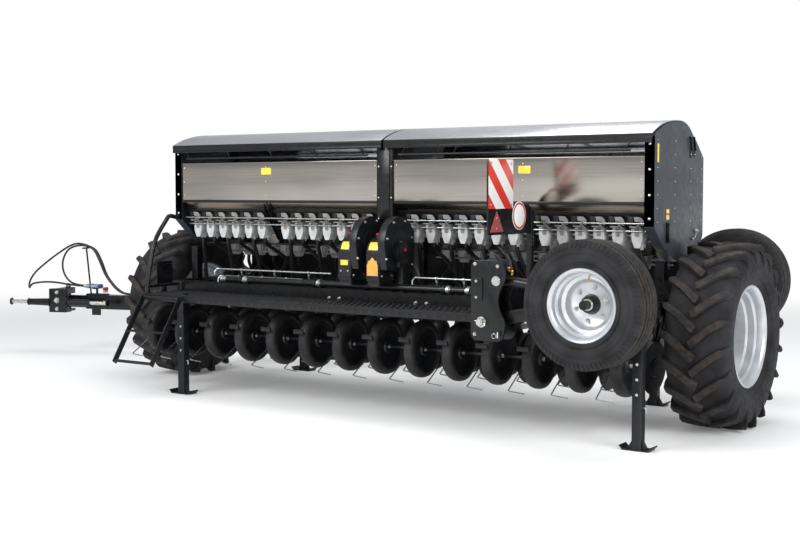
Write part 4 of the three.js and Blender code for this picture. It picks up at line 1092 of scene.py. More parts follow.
def coulters():
    """Both ranks of coulters on their rails, with discs, tines, press wheels and lift cylinders."""
    for rank, (count, press_y, rail_y, rail_z) in RANKS.items():
        run = row_run(count)
        node = f"coulters_{rank}"
        low, high = span(node)
        rail = Shape().box((low.x + 8, rail_y - 25, rail_z - 25), (high.x - 8, rail_y + 25, rail_z + 25), 4)
        if rank == "rear":
            for s in (-1, 1):
                rail.box((s * 1035 - 15, rail_y + 24, 605), (s * 1035 + 15, 374, 645), 3)
        else:
            for s in (-1, 1):
                rail.rod((s * LIFT_X, LIFT_Y, 622), (s * LIFT_X, LIFT_Y, 700), 26, 24, 2)
        piece(f"coulter_rail_{rank}", rail, BLACK, "openers", replaces=[node])
        arms = copies(coulter_arm(press_y, rail_y, rail_z), run, BLACK)
        piece(f"coulter_arms_{rank}", arms, BLACK, "openers")
        piece(f"coulter_discs_{rank}", copies(disc_pair(press_y), run, DISC), DISC, "openers")
        piece(f"covering_tines_{rank}", copies(tine(press_y), run, WIRE), WIRE, "openers")
        bolts = Shape().nut((ARM_X - 6, press_y, PRESS_Z), (-1, 0, 0), 19, 10, 6)
        bolts.nut((ARM_X - 6, press_y + DISC_AHEAD, DISC_Z), (-1, 0, 0), 24, 12, 4)
        for y, z in ((-46, 20), (-46, -20)):
            bolts.rod((ARM_X, rail_y + y, rail_z + z), (ARM_X, rail_y + 44, rail_z + z), 6, 10)
            bolts.nut((ARM_X, rail_y + 33, rail_z + z), (0, 1, 0), 17, 10, 5)
        bolts.nut((ARM_X + 6, press_y - 70, PRESS_Z + 48), (1, 0, 0), 15, 8, 3)
        piece(f"coulter_bolts_{rank}", copies(bolts, run, BOLT), BOLT, "openers")
        body = f"press_gang_{rank}"
        for name, made, material in (
            ("tyres", press_wheel(), PRESS),
            ("faces", press_face(), DISC),
        ):
            shape = copies(made, run, material)
            if name == "faces":
                left = -(count - 1) / 2 * ROW_STEP
                shape.rod((left - 80, 0, 0), (-left + 20, 0, 0), 11.5, 12)
            shape.move((0, press_y, PRESS_Z))
            gone = [f"press_wheels_{rank}"] if name == "tyres" else []
            piece(f"press_{name}_{rank}", shape, material, body, replaces=gone)
        caps = Shape().nut((24, 0, 0), (1, 0, 0), 24, 12, 6)
        caps.nut((-24, 0, 0), (-1, 0, 0), 24, 8, 0)
        shape = copies(caps, run, BOLT).move((0, press_y, PRESS_Z))
        piece(f"press_wheel_bolts_{rank}", shape, BOLT, body)
    rods = Shape()
    barrels = Shape()
    ends = Shape()
    for s in (-1, 1):
        rods.rod((s * LIFT_X, LIFT_Y, 690), (s * LIFT_X, LIFT_Y, 872), 15.5, 24)
        barrels.rod((s * LIFT_X, LIFT_Y, 645), (s * LIFT_X, LIFT_Y, 896), 32, 32, 3)
        barrels.rod((s * LIFT_X, LIFT_Y, 641), (s * LIFT_X, LIFT_Y, 660), 34, 32, 3)
        barrels.box((s * LIFT_X - 28, 408, 736), (s * LIFT_X + 28, 429, 804), 3)
        ends.rod(
            (s * LIFT_X, LIFT_Y, 896), (s * LIFT_X, LIFT_Y, 908), 18, 24, 2,
        ).nut((s * LIFT_X, LIFT_Y, 906), (0, 0, 1), 26, 14, 0)
    piece("lift_rods", rods, CHROME, "openers")
    piece("lift_barrels", barrels, BLACK, replaces=["lift_cylinder_left", "lift_cylinder_right"])
    piece("lift_barrel_ends", ends, ZINC)


coulters()

# ------------------------------------------------------------------ metering
CUP_STEP = 132
CUP_RUNS = ((7, 193), (6, 1220))
SEED_Y, SEED_TOP = -330, span("seed_meters_left")[1].z
FERT_Y, FERT_TOP = 70, span("fertiliser_meters_left")[1].z


def cup_runs(s):
    return [(count, (s * start, 0, 0), (s * CUP_STEP, 0, 0), NO_TURN) for count, start in CUP_RUNS]


def seed_cup():
    """A seed metering housing: a rounded barrel with ribs, flanges and a spout."""
    top = SEED_TOP
    shape = Shape()
    side = [
        (SEED_Y - 44, top - 26, 10), (SEED_Y + 40, top - 26, 10), (SEED_Y + 44, top - 78, 26),
        (SEED_Y + 20, top - 108, 12), (SEED_Y + 18, top - 136, 4), (SEED_Y - 20, top - 136, 4),
        (SEED_Y - 24, top - 108, 12), (SEED_Y - 52, top - 82, 28),
    ]
    shape.plate("x", rounded(side, 12), -27, 27, 7)
    cheek = rounded([corner[:2] for corner in side[:4]] + [(SEED_Y - 56, top - 84)], 20)
    for low in (-33, 29):
        shape.plate("x", cheek, low, low + 4, 1)
    shape.rod((-38, SEED_Y - 4, top - 58), (38, SEED_Y - 4, top - 58), 30, 24, 4)
    shape.box((-36, SEED_Y - 48, top - 28), (36, SEED_Y + 44, top - 20), 2)
    shape.tube([(0, SEED_Y, top - 130), (0, SEED_Y, top - 150)], [20, 17], 16)
    shape.bar((0, SEED_Y - 50, top - 50), (0, SEED_Y - 62, top - 92), 16, 9, 2)
    return shape


def cup_shell():
    """The bright tapered front of a housing."""
    top = SEED_TOP
    front = [
        (-40, top - 12, 6), (40, top - 12, 6), (38, top - 84, 16), (17, top - 138, 6),
        (-17, top - 138, 6), (-38, top - 84, 16),
    ]
    return Shape().plate("y", rounded(front, 8), SEED_Y - 66, SEED_Y - 8, 9)


def seed_gate():
    """The shut-off slide over a housing, the notch in its front and the lever that moves it."""
    top = SEED_TOP
    shape = Shape().box((-34, SEED_Y - 52, top - 20), (34, SEED_Y + 42, top - 1), 2)
    shape.plate("y", oblong((-15, top - 66), (16, top - 10), 10, 5), SEED_Y - 68, SEED_Y - 60, 1)
    lever = [
        (0, top + 62, 4), (44, top + 62, 8), (66, top + 40, 8), (66, top + 8, 4), (50, top + 8, 4),
        (44, top + 28, 6), (6, top + 32, 4),
    ]
    shape.plate("y", rounded(lever, 4), SEED_Y - 118, SEED_Y - 109, 2)
    shape.bar((24, SEED_Y - 118, top + 16), (54, SEED_Y - 74, top - 34), 20, 8, 2)
    return shape.bar((-30, SEED_Y - 112, top - 2), (26, SEED_Y - 112, top - 2), 10, 8, 2)


def gate_box():
    """The black guide that the slide's lever runs in."""
    top = SEED_TOP
    return Shape().box((-42, SEED_Y - 116, top + 6), (-3, SEED_Y - 84, top + 64), 3)


def metering():
    """Both rows of metering housings, with slides, guides and shafts."""
    for side, s in SIDES:
        shape = copies(seed_cup(), cup_runs(s), CUP)
        shape.add(copies(cup_shell(), cup_runs(s), CUP))
        piece(f"seed_housings_{side}", shape, CUP, replaces=[f"seed_meters_{side}"])
        guides = copies(gate_box(), cup_runs(s), SATIN)
        piece(f"slide_guides_{side}", guides, SATIN)
        piece(f"seed_slides_{side}", copies(seed_gate(), cup_runs(s), CUP_DARK), CUP_DARK)
        rods = Shape()
        for y, z, radius, first, last in (
            (SEED_Y - 4, SEED_TOP - 58, 11, 120, 1964), (SEED_Y - 72, SEED_TOP - 30, 7, 100, 1964),
            (SEED_Y - 122, SEED_TOP + 20, 5, 100, 1964), (SEED_Y + 34, SEED_TOP - 96, 7, 100, 1964),
            (FERT_Y, FERT_TOP - 32, 11, 120, 1964), (FERT_Y - 60, FERT_TOP - 62, 6, 120, 1964),
        ):
            rods.rod((s * first, y, z), (s * last, y, z), radius, 16)
        collar = Shape().rod((41, SEED_Y - 4, SEED_TOP - 58), (52, SEED_Y - 4, SEED_TOP - 58), 16, 20)
        collar.nut((46, SEED_Y - 19, SEED_TOP - 58), (0, -1, 0), 9, 6, 0, False)
        collar.nut((44, SEED_Y - 80, SEED_TOP - 44), (0, -1, 0), 11, 6, 3, False)
        rods.add(copies(collar, cup_runs(s), ZINC))
        piece(f"metering_shafts_{side}", rods, ZINC)
        low_cup = Shape()
        side_view = [
            (FERT_Y - 42, FERT_TOP - 4, 6), (FERT_Y + 42, FERT_TOP - 4, 6),
            (FERT_Y + 40, FERT_TOP - 60, 22), (FERT_Y + 16, FERT_TOP - 96, 8),
            (FERT_Y - 16, FERT_TOP - 96, 8), (FERT_Y - 46, FERT_TOP - 60, 22),
        ]
        low_cup.plate("x", rounded(side_view, 10), -28, 28, 7)
        low_cup.rod((-36, FERT_Y, FERT_TOP - 34), (36, FERT_Y, FERT_TOP - 34), 27, 24, 4)
        low_cup.box((-38, FERT_Y - 46, FERT_TOP - 12), (38, FERT_Y + 46, FERT_TOP - 2), 2)
        name = f"fertiliser_housings_{side}"
        piece(name, copies(low_cup, cup_runs(s), CUP), CUP, replaces=[f"fertiliser_meters_{side}"])


metering()


def seed_tubes():
    """Soft tubes from the housings to the coulters."""
    places = [start + i * CUP_STEP for count, start in CUP_RUNS for i in range(count)]
    for side, s in SIDES:
        shape = Shape()
        clips = Shape()
        for i, start in enumerate(places):
            rank = "rear" if i % 2 == 0 else "front"
            row_x = (i + 1) * 150
            press_y = RANKS[rank][1]
            foot_y = press_y + DISC_AHEAD + 70
            top = SEED_TOP - 122
            line = [
                (s * start, SEED_Y, top + 4), (s * start, SEED_Y, top - 60),
                (s * (start + row_x) / 2, (SEED_Y + foot_y) / 2, (top - 60 + 650) / 2 + 90),
                (s * row_x, foot_y, 710), (s * row_x, foot_y - 6, 640), (s * row_x, foot_y - 40, 560),
            ]
            shape.tube(smooth_line(line, 7), 15, 12)
            clips.rod((s * start, SEED_Y, top - 14), (s * start, SEED_Y, top - 4), 17.5, 16)
            under = [
                (s * start, FERT_Y, FERT_TOP - 92), (s * start, FERT_Y, FERT_TOP - 150),
                (s * (start + row_x) / 2, (FERT_Y + foot_y + 50) / 2, 840),
                (s * (row_x + 26), foot_y + 34, 720), (s * (row_x + 26), foot_y + 10, 640),
                (s * (row_x + 20), foot_y - 34, 550),
            ]
            shape.tube(smooth_line(under, 7), 14, 12)
        low, high = (s * (places[0] - 30), SEED_Y + 15, SEED_TOP - 190), (
            s * (places[-1] + 30), SEED_Y + 58, SEED_TOP - 178,
        )
        clips_bar = Shape().box(low, high, 2)
        made = piece(f"seed_tubes_{side}_flexible", shape, TUBE, replaces=[f"seed_tubes_{side}"])
        made.parent = None
        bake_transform(made)
        piece(f"tube_clips_{side}", clips, CUP_DARK)
        piece(f"tube_comb_{side}", clips_bar, SATIN)


seed_tubes()


# ------------------------------------------------------------------ hopper, end plates and lids
def curve(start, pull, end, steps=12):
    """Flat points of a curve that leaves one point towards a second and ends at a third."""
    a, b, c = Vector(start), Vector(pull), Vector(end)
    shares = [i / steps for i in range(1, steps + 1)]
    return [tuple(a * (1 - t) ** 2 + b * 2 * t * (1 - t) + c * t**2) for t in shares]


def beside(line, thick):
    """A strip's outline: a flat line with its own copy moved to its left by a thickness."""
    moved = []
    for i, here in enumerate(line):
        run = (Vector(line[min(i + 1, len(line) - 1)]) - Vector(line[max(i - 1, 0)])).normalized()
        moved.append((here[0] - run.y * thick, here[1] + run.x * thick))
    return line + moved[::-1]


CROWN = 1983
LID_GAP = 10


def crown_side(drop, low):
    """Side view of the plates under the lids, from the rear lower corner over the crown to the front."""
    top = CROWN - drop
    line = [(260, low), (350, low + 150), (350, 1750), (215, 1858), (165, 1898 - drop)]
    line += curve((165, 1898 - drop), (60, top), (-60, top))
    line += curve((-60, top), (-300, top), (-480, 1890 - drop))
    return line + [(FLANGE, 1880 - drop), (FLANGE, 1298), (-350, 1178), (-150, low)]


def film(shape, low, high, wall):
    """A blank sticker on a wall that looks to -Y, by its two corners (x, z) and the wall's y."""
    return shape.plate("y", oblong(low, high, 6, 3), wall - 0.9, wall - 0.1, 0.2)


def slope_spot(z, out):
    """A point (y, z) on the hopper's lower front wall, or beside it by a distance."""
    run = Vector((95, -155)).normalized()
    y = -480 + 95 * (1455 - z) / 155
    return (y + run.y * out, z - run.x * out)


def slope_strip(low, high, near, far):
    """Side view of a strip on that wall, between two heights and two distances from it."""
    return [slope_spot(low, near), slope_spot(low, far), slope_spot(high, far), slope_spot(high, near)]


def hoppers():
    """The stainless hopper: its panels carry rivets, folded edges and blank films."""
    for side, s in SIDES:
        node = f"hopper_{side}"
        eased(node, PANEL, 1.2, name=f"hopper_sheets_{side}")
        rivets = Shape()
        for x in (92, 1104, 1944):
            for z in (1492, 1598, 1708):
                rivets.dome((s * x, REAR_WALL, z), (0, -1, 0), 5.5, 2.6, 12)
        for x in range(150, 1960, 132):
            for z in (1722, 1470):
                rivets.dome((s * x, 350, z), (0, 1, 0), 4.2, 2.2, 10)
        piece(f"hopper_rivets_{side}", rivets, BOLT)
        trim = Shape()
        trim.box((s * 72, -486, 1740), (s * 1963, -474, 1746), 2)
        trim.box((s * 72, 346, 1740), (s * 1963, 356, 1746), 2)
        piece(f"hopper_folds_{side}", trim, PANEL)
        wide = sorted((s * 74, s * 1962))
        seat = Shape().box((wide[0], -388, 1296), (wide[1], -272, 1299.4), 1)
        seat.plate("x", slope_strip(1303, 1386, 1, 5), *wide, 1)
        # a black band just under the panel's lower fold: painted shadow of the fold
        seat.box((wide[0], -486, 1437), (wide[1], -470, 1455), 2)
        for x in (1080, 1116):
            rib = [(-486, 1440), (-486, 1392), (-318, 1150), (-262, 1150), (-290, 1292), (-392, 1298)]
            seat.plate("x", rounded(rib, 8, 4), s * x, s * (x + 7), 1)
        piece(f"trough_seat_{side}", seat, SATIN)
        # a thin sheet on the sloped wall in brown-beige steel: painted reflection of the ground
        slope = Shape()
        slope.plate("x", slope_strip(1386, 1438, 0.3, 1.5), *wide, 0.3)
        piece(f"trough_slope_{side}", slope, GROUND_REFLECTION_STEEL)
        # a thin mirror sheet under the lid hinges, there to show a bright strip where light shows through
        # the gap: painted light
        bright_gap_sheet = Shape().plate("x", [(200, 1742), (202, 1742), (197, 1866), (195, 1866)], *wide, 0.4)
        piece(f"hinge_baffle_{side}", bright_gap_sheet, CHROME, "chassis", "stainless")
    films = Shape()
    for low, high in (
        ((-1148, 1652), (-1052, 1702)),
        ((1070, 1642), (1160, 1692)),
    ):
        film(films, low, high, REAR_WALL)
    piece("hopper_films", films, YELLOW)


hoppers()


def end_plates():
    """Grey end plates with a folded flange, rivets, straps and bolts."""
    for side, s in SIDES:
        outline = crown_side(LID_GAP, 1080.3)
        span_x = sorted((s * 2027, s * 2034.6))
        sheet = Shape().plate("x", rounded(outline, 4, 1), *span_x, 1.5)
        closed = [(80, 1080.3)] + outline + [(70, 1080.3)]
        sheet.plate("x", beside(closed, 7), s * 1966, s * 2030, 1)
        piece(f"end_sheet_{side}", sheet, GREY, replaces=[f"end_plate_{side}"])
        edge = Shape()
        edge.box((s * 1966, FLANGE, 1300), (s * 2034, -485, 1868), 1.2)
        crown = curve((-60, 1972), (-300, 1972), (-480, 1879), 14)
        edge.plate("x", beside(crown, 2), s * 1966, s * 2034.4, 0.6)
        edge.box((s * 2034, 96, 1742), (s * 2037, 206, 1790), 1)
        for y in (112, 180):
            edge.bar((s * 2038, y, 1792), (s * 2038, y - 26, 1884), 22, 3, 0.8)
            edge.bar((s * 2038, y, 1792), (s * 2038, y + 2, 1748), 22, 3, 0.8)
        edge.box((s * 2034, 176, 1090), (s * 2046, 246, 1122), 2)
        edge.box((s * 2034, -300, 1194), (s * 2037, -236, 1330), 1)
        edge.box((s * 2034, -296, 1200), (s * 2058, -290, 1322), 1)
        piece(f"end_flange_{side}", edge, BLACK)
        bolts = Shape()
        for z in (1352, 1500, 1660, 1820):
            bolts.dome((s * 2000, FLANGE, z), (0, -1, 0), 10, 6)
        for y in (-440, -150, 120, 318):
            for z in range(1330, 1850, 86):
                bolts.dome((s * 2034.6, y, z), (s, 0, 0), 4.4, 2.4, 10)
        for y, z in ((214, 1262), (-266, 1230), (-266, 1296)):
            bolts.nut((s * 2036, y, z), (s, 0, 0), *((22, 12, 8) if y > 0 else (13, 7, 3)))
        bolts.rod((s * 2036, 150, 1210), (s * 2048, 150, 1210), 9, 16)
        bolts.bar((s * 2046, 150, 1210), (s * 2046, 214, 1262), 14, 4, 1)
        for y in (112, 180):
            bolts.dome((s * 2038, y - 2, 1768), (s, 0, 0), 6, 4)
        piece(f"end_bolts_{side}", bolts, BOLT)
        label = Shape()
        for y0, y1, z0, z1 in (
            (-448, -424, 1706, 1822), (-292, -246, 1344, 1374), (-292, -246, 1384, 1410),
        ):
            corners = oblong((y0, z0), (y1, z1), 5, 3)
            label.plate("x", corners, s * 2034.7, s * 2035.3, 0.2)
        piece(f"end_films_{side}", label, YELLOW)
    outline = crown_side(LID_GAP, 1160.3)
    post = Shape()
    post.plate("x", beside(outline, 6), -70, 70, 1.5)
    for s in (-1, 1):
        post.plate("x", rounded(outline, 4, 1), s * 64, s * 69.8, 1)
    post.plate("x", [(FLANGE, 1300), (-494, 1312), (-494, 1858), (FLANGE, 1868)], -40, 40, 2)
    piece("centre_cover", post, BLACK, replaces=["centre_post"])
    heads = Shape()
    for z in (1330, 1480, 1700, 1840):
        for x in (-54, 54):
            heads.dome((x, FLANGE, z), (0, -1, 0), 7, 4, 12)
    piece("centre_bolts", heads, BOLT)


end_plates()


def lids():
    """Curved lids with a grooved front lip, a handle rail below it and a cap at each end."""
    over = [(163, 1906)] + curve((163, 1906), (80, CROWN), (-60, CROWN), 16)
    over += curve((-60, CROWN), (-330, CROWN), (-521, 1885.5), 22)
    raised = [(a, b + 0.8) for a, b in over[2:-1]]
    under = [(a, b - 4.5) for a, b in over[1:]]
    for side, s in SIDES:
        body = f"lid_{side}"
        ends = sorted((s * 10, s * 2027))
        sheet = Shape().plate("x", beside(over, 4), *ends, 1.0)
        for x in (-1, 1):
            fold = 1018 + x * 1005
            sheet.plate("x", beside(raised, 2), s * (fold - 3), s * (fold + 3), 0.6)
        piece(f"lid_sheet_{side}", sheet, LID_STEEL, body, replaces=[f"lid_{side}"])
        lip = Shape()
        lip.box((ends[0], -522, 1852), (ends[1], -515, 1886), 2)
        lip.box((ends[0], -519.5, 1845), (ends[1], -515, 1853), 0.8)
        lip.box((ends[0], -522, 1828), (ends[1], -515, 1846), 2)
        for x in (12, 2022):
            lip.plate("x", beside(under, 26), s * (x - 1.5), s * (x + 3), 1)
        for x in (330, 1018, 1706):
            lip.plate("x", beside(under, 18), s * (x - 12), s * (x + 12), 1)
        for x in (150, 1000, 1880):
            lip.rod((s * (x - 40), 185, 1888), (s * (x + 40), 185, 1888), 12, 24)
            lip.bar((s * x, 185, 1889), (s * x, 158, 1906), 60, 5, 1)
        piece(f"lid_lip_{side}", lip, BLACK, body)
        rail = Shape().rod((s * 130, -514, 1782), (s * 1885, -514, 1782), 8, 20, 3)
        for share in (0.02, 0.26, 0.5, 0.74, 0.98):
            x = 130 + 1755 * share
            rail.bar((s * x, -514, 1782), (s * (x + 26), -514, 1829), 16, 5, 1)
            rail.bar((s * (x + 20), -514, 1827), (s * (x + 58), -514, 1829), 16, 4, 1)
        piece(f"lid_handle_{side}", rail, BLACK, body, replaces=[f"lid_rail_{side}"])
        seams = Shape()
        for x in (470, 980, 1490):
            seams.box((s * x, -523, 1830), (s * (x + 6), -521.5, 1885), 0.4)
        seams.box((ends[0], -523.5, 1874), (ends[1], -521, 1880), 0.6)
        piece(f"lid_trim_{side}", seams, SATIN, body)


lids()


# ------------------------------------------------------------------ frame, walkway and ladder
def front_shade_sheet():
    """A black sheet that stands on the front bar behind the tubes: painted shade that darkens the view
    between the tubes.
    """
    sheet = Shape().box((-2036, 440, 820.4), (2036, 444, 1150), 1)
    sheet.box((-2036, 432, 820.4), (2036, 452, 824), 1)
    for x in range(-1920, 1921, 480):
        sheet.box((x - 15, 444, 822), (x + 15, 456, 1144), 2)
    piece("tube_screen", sheet, SATIN)


front_shade_sheet()


def frame_and_walkway():
    """Frame, perforated walkway, ladder, grab rail, drive tube and crank rods."""
    eased("main_frame", BLACK, 4)
    for side, s in SIDES:
        eased(f"wheel_carrier_{side}", BLACK, 2)
    bolts = Shape()
    for s in (-1, 1):
        for z in (745, 795):
            for y in (-200, -160, 160, 200):
                bolts.nut((s * 2041, y, z), (s, 0, 0), 22, 12, 6)
        for x in (330, 420):
            bolts.nut((s * x, -591, 752), (0, -1, 0), 20, 10, 6)
    piece("frame_bolts", bolts, BOLT)

    eased("walkway", SATIN, 2)
    punched = Shape().turned("z", (0, 0, 745), [(0, 9), (3.2, 11), (3.2, 13), (0, 15.5)], 14)
    grid = [(62, (-1885 + (22 if k % 2 else 0), -950 + 46 * k, 0), (47.5, 0, 0), NO_TURN) for k in range(8)]
    piece("walkway_grip_rings", copies(punched, grid, SATIN), SATIN)
    slot = Shape().plate("y", oblong((-16, 700), (16, 726), 12, 4), -971.6, -970.1, 0.5)
    slots = copies(slot, [(40, (-1860, 0, 0), (74, 0, 0), NO_TURN)], DISC)
    piece("walkway_edge_slots", slots, DISC)

    def treads(shape):
        tread = Shape().turned("z", (0, 0, 0), [(0, 8), (2.6, 9.5), (2.6, 11.5), (0, 13.5)], 12)
        y = -992 - 308 * 0.52
        z = 724 - 474 * 0.52 + 4
        shape.add(copies(tread, [(10, (-1868, y, z), (36, 0, 0), NO_TURN)], SATIN))

    eased("ladder", SATIN, 2, extra=treads)
    x = -1892
    rail = Shape()
    upper = [
        (x, -945, 745.4), (x, -945, 840), (x - 10, -861, 1126), (x - 40, -700, 1300),
        (-2000, -590, 1330), (-2000, -530, 1322), (-2000, -488.4, 1322),
    ]
    rail.tube(smooth_line(upper, 7), 17, 20)
    lower = [(x, -945, 800), (x, -900, 800), (x, -640, 800), (x, -622, 785), (x, -622, 745.4)]
    rail.tube(smooth_line(lower, 5), 14, 18)
    rail.plate("x", oblong((-850, 798), (-680, 985), 14, 4), x - 3, x + 3, 1)
    rail.box((x - 30, -965, 745.3), (x + 30, -925, 752), 2)
    rail.nut((x + 3, -835, 960), (1, 0, 0), 13, 6, 3).nut((x + 3, -695, 960), (1, 0, 0), 13, 6, 3)
    piece("grab_rail", rail, BLACK, replaces=["handrail"])

    shaft = Shape().rod((-1400, *SHAFT), (800, *SHAFT), 22, 28)
    for spot in (-1400, -1180, -480, 620, 780):
        shaft.rod((spot, *SHAFT), (spot + 24, *SHAFT), 31, 28, 2)
        shaft.nut((spot + 12, -676, 858), (0, -1, 0), 11, 6, 0, False)
    piece("drive_tube", shaft, ZINC, replaces=["drive_shaft"])
    legs = Shape()
    for left, right in ((-1352, -1206), (-1140, -512), (-450, 588), (650, 768)):
        legs.rod((left, *SHAFT), (right, *SHAFT), 25, 28, 3)
    arch = [
        (-652, 846), (-638, 822), (-522, FRAME_TOP), (-522, 830), (-610, 840), (-618, 892), (-672, 892),
    ]
    for spot in (-1200, -500, 600):
        legs.plate("x", rounded(arch, 10, 3), spot - 5, spot + 5, 1)
        legs.rod((spot - 14, *SHAFT), (spot + 14, *SHAFT), 34, 28, 2)
    piece("shaft_brackets", legs, BLACK)
    # bright crank rods that lie over the walkway, with their clamps
    cranks = Shape()
    for left, right, y, z in ((-1500, -420, -566, 926), (330, 1060, -566, 926), (-1480, -700, -548, 872)):
        cranks.rod((left, y, z), (right, y, z), 7, 14)
        crank = ((0, 0, 0), (-20, -4, 0), (-30, -20, -20), (-30, -24, -48))
        cranks.tube(smooth_line([(left + a, y + b, z + c) for a, b, c in crank], 5), 7, 12)
        for k in range(3):
            spot = left + (right - left) * (0.2 + 0.3 * k)
            cranks.rod((spot, y, z), (spot + 14, y, z), 13, 16)
            cranks.bar((spot + 7, y, z), (spot + 7, y + 22, 821), 12, 12, 1)
    piece("crank_rods", cranks, ZINC)


frame_and_walkway()


# ------------------------------------------------------------------ drive units
GEARBOX_CROWN = curve((-610, 1215), (-790, 1215), (-790, 1085), 14)


def drive_units():
    """Two gearboxes with arched chain guards over the walkway."""
    for side, x in (("left", -135), ("right", 105)):
        outline = [(-790, 905), (-610, 905), (-610, 1215)] + GEARBOX_CROWN
        case = Shape().plate("x", outline, x - 54.8, x + 54.8, 5)
        case.plate("x", oblong((-796, 925), (-604, 945), 3, 2), x - 55, x + 55, 2)
        for k in range(5):
            z = 1100 + 20 * k
            case.box((x - 54.9, -640, z), (x + 54.9, -604, z + 6), 1)
        case.box((x - 40, -792, 960), (x + 40, -786, 1050), 4)
        case.box((x - 40, -615, FRAME_TOP), (x + 40, -510, 1025), 4)
        case.box((x - 50, -780, 880), (x + 50, -620, 908), 4)
        case.rod((x - 18, -700, 1196), (x - 18, -700, 1222), 15, 24, 3)
        piece(f"gearbox_case_{side}", case, COVER, replaces=[f"gearbox_{side}"])

        low, high = x + 55.3, x + 113.3
        arch = [(-440, 960), (-440, 1245)] + arc((-620, 1160), 190, 25.8, 180, 26) + [(-780, 985)]
        guard = Shape().plate("x", beside(arch, 5), low, high, 1.2)
        guard.plate("x", arch, high - 5, high - 0.5, 1)
        for spot in ((-620, 1160, 96), (-660, 1010, 44)):
            guard.rod((high - 1, *spot[:2]), (high + 3, *spot[:2]), spot[2], 40, 3)
        piece(f"chain_guard_{side}", guard, COVER, replaces=[f"drive_guard_{side}"])
        bright = Shape()
        inner = [(-446, 962), (-446, 1242)] + arc((-620, 1160), 183, 25, 178, 26) + [(-774, 988)]
        bright.plate("x", beside(inner, 2), low + 1, low + 9, 0.5)
        gear = Shape().turned(
            "x", (low + 30, -620, 1160), [(-5, 20), (-5, 78), (-2, 84), (2, 84), (5, 78), (5, 20)], 48,
        )
        tooth = Shape().box((low + 28, -4, 80), (low + 32, 4, 92), 1)
        tooth.move((-(low + 30), 0, 0))
        bright.add(gear).add(ring(tooth, 22, (low + 30, -620, 1160), "x", ZINC))
        for y, z in ((-470, 1010), (-470, 1200), (-560, 1316), (-700, 1310), (-780, 1200), (-790, 1060)):
            bright.nut((high - 0.5, y, z), (1, 0, 0), 15, 7, 3)
        bright.nut((high + 3, -620, 1160), (1, 0, 0), 30, 14, 8)
        for y, z in ((-760, 940), (-640, 940), (-640, 1150), (-772, 1080)):
            bright.nut((x + 54.6, y, z), (1, 0, 0), 13, 6, 2)
            bright.nut((x - 54.6, y, z), (-1, 0, 0), 13, 6, 2)
        for z in (970, 1040):
            bright.nut((x - 30, -792, z), (0, -1, 0), 10, 5, 0)
            bright.nut((x + 30, -792, z), (0, -1, 0), 10, 5, 0)
        piece(f"drive_bright_parts_{side}", bright, BOLT)

    # ribbed reduction gearbox at the right of the pair
    hub = (236, -640, 1096)
    ribs = [(-14, 0), (-14, 60)]
    for k in range(5):
        ribs += [(-10 + 9 * k, 60), (-8 + 9 * k, 78), (-4 + 9 * k, 78), (-2 + 9 * k, 60)]
    ribs += [(36, 60), (42, 50), (42, 0)]
    box = Shape().turned("x", hub, ribs, 48)
    box.box((224, -690, 1000), (262, -590, 1060), 6)
    box.box((224, -650, FRAME_TOP), (262, -560, 1010), 5)
    piece("reduction_gearbox", box, COVER)
    dots = Shape()
    for spot, way in (((278, -640, 1120), (1, 0, 0)), ((262, -640, 1030), (1, 0, 0))):
        dots.dome(spot, way, 13, 6, 20)
    for x in (-135, 105):
        dots.rod((x - 18, -700, 1221), (x - 18, -700, 1234), 12, 20, 3)
    piece("oil_level_caps", dots, RED_CAP)

    films = Shape()
    film(films, (-168, 1010), (-104, 1046), -791.8)
    film(films, (68, 984), (142, 1046), -791.8)
    for x, wide in ((-135, 34), (105, 38)):
        run = GEARBOX_CROWN[7:12]
        films.plate("x", beside([(a - 0.2, b + 0.2) for a, b in run], -0.9), x - wide, x + wide, 0.2)
    piece("drive_films", films, YELLOW)
    board = Shape()
    board.plate(
        "y", rounded([(60, 930), (150, 930), (150, 1020), (105, 1072), (60, 1020)], 8, 4), -795.4,
        -793.6, 0.5,
    )
    piece("drive_amber_plate", board, AMBER)


drive_units()


# ------------------------------------------------------------------ transport gear
PIVOT = (1186, 717)
RAM_PIN = (1291, 975)
HUB = (1960, 870)
EYE = (1757.3, 922.1)
ARM_Y = 1075
PLATE_FACE = -1160  # outer face of the outer bracket plate, at the rear
OIL_START = -700  # where the oil lines rise from the frame, at the rear


def on_ram(reach, y):
    """A point on the ram's line by its distance from the barrel's pin."""
    run = Vector((EYE[0] - RAM_PIN[0], EYE[1] - RAM_PIN[1])).normalized()
    return (RAM_PIN[0] + run.x * reach, y, RAM_PIN[1] + run.y * reach)


def bracket_outline():
    """Side view of the plates that carry a transport arm and its ram."""
    left, right, low, high = PIVOT[0] - 76, PIVOT[0] + 174, PIVOT[1] - 117, PIVOT[1] + 383
    line = [(left, low + 50)] + curve(
        (left, low + 50), (left, low), (left + 50, low), 8,
    ) + [(right - 75, low)]
    line += curve((right - 75, low), (right - 25, low), (right - 12, low + 70), 8)
    line += curve((right - 12, low + 70), (right, low + 130), (right - 28, low + 160), 8)
    line += curve((right - 28, low + 160), (right - 85, low + 250), (right - 25, low + 350), 12)
    line += curve((right - 25, low + 350), (right + 10, low + 400), (right - 12, high - 50), 8)
    line += curve((right - 12, high - 50), (right - 30, high), (right - 80, high), 8) + [(left + 50, high)]
    return line + curve((left + 50, high), (left, high), (left, high - 50), 8)


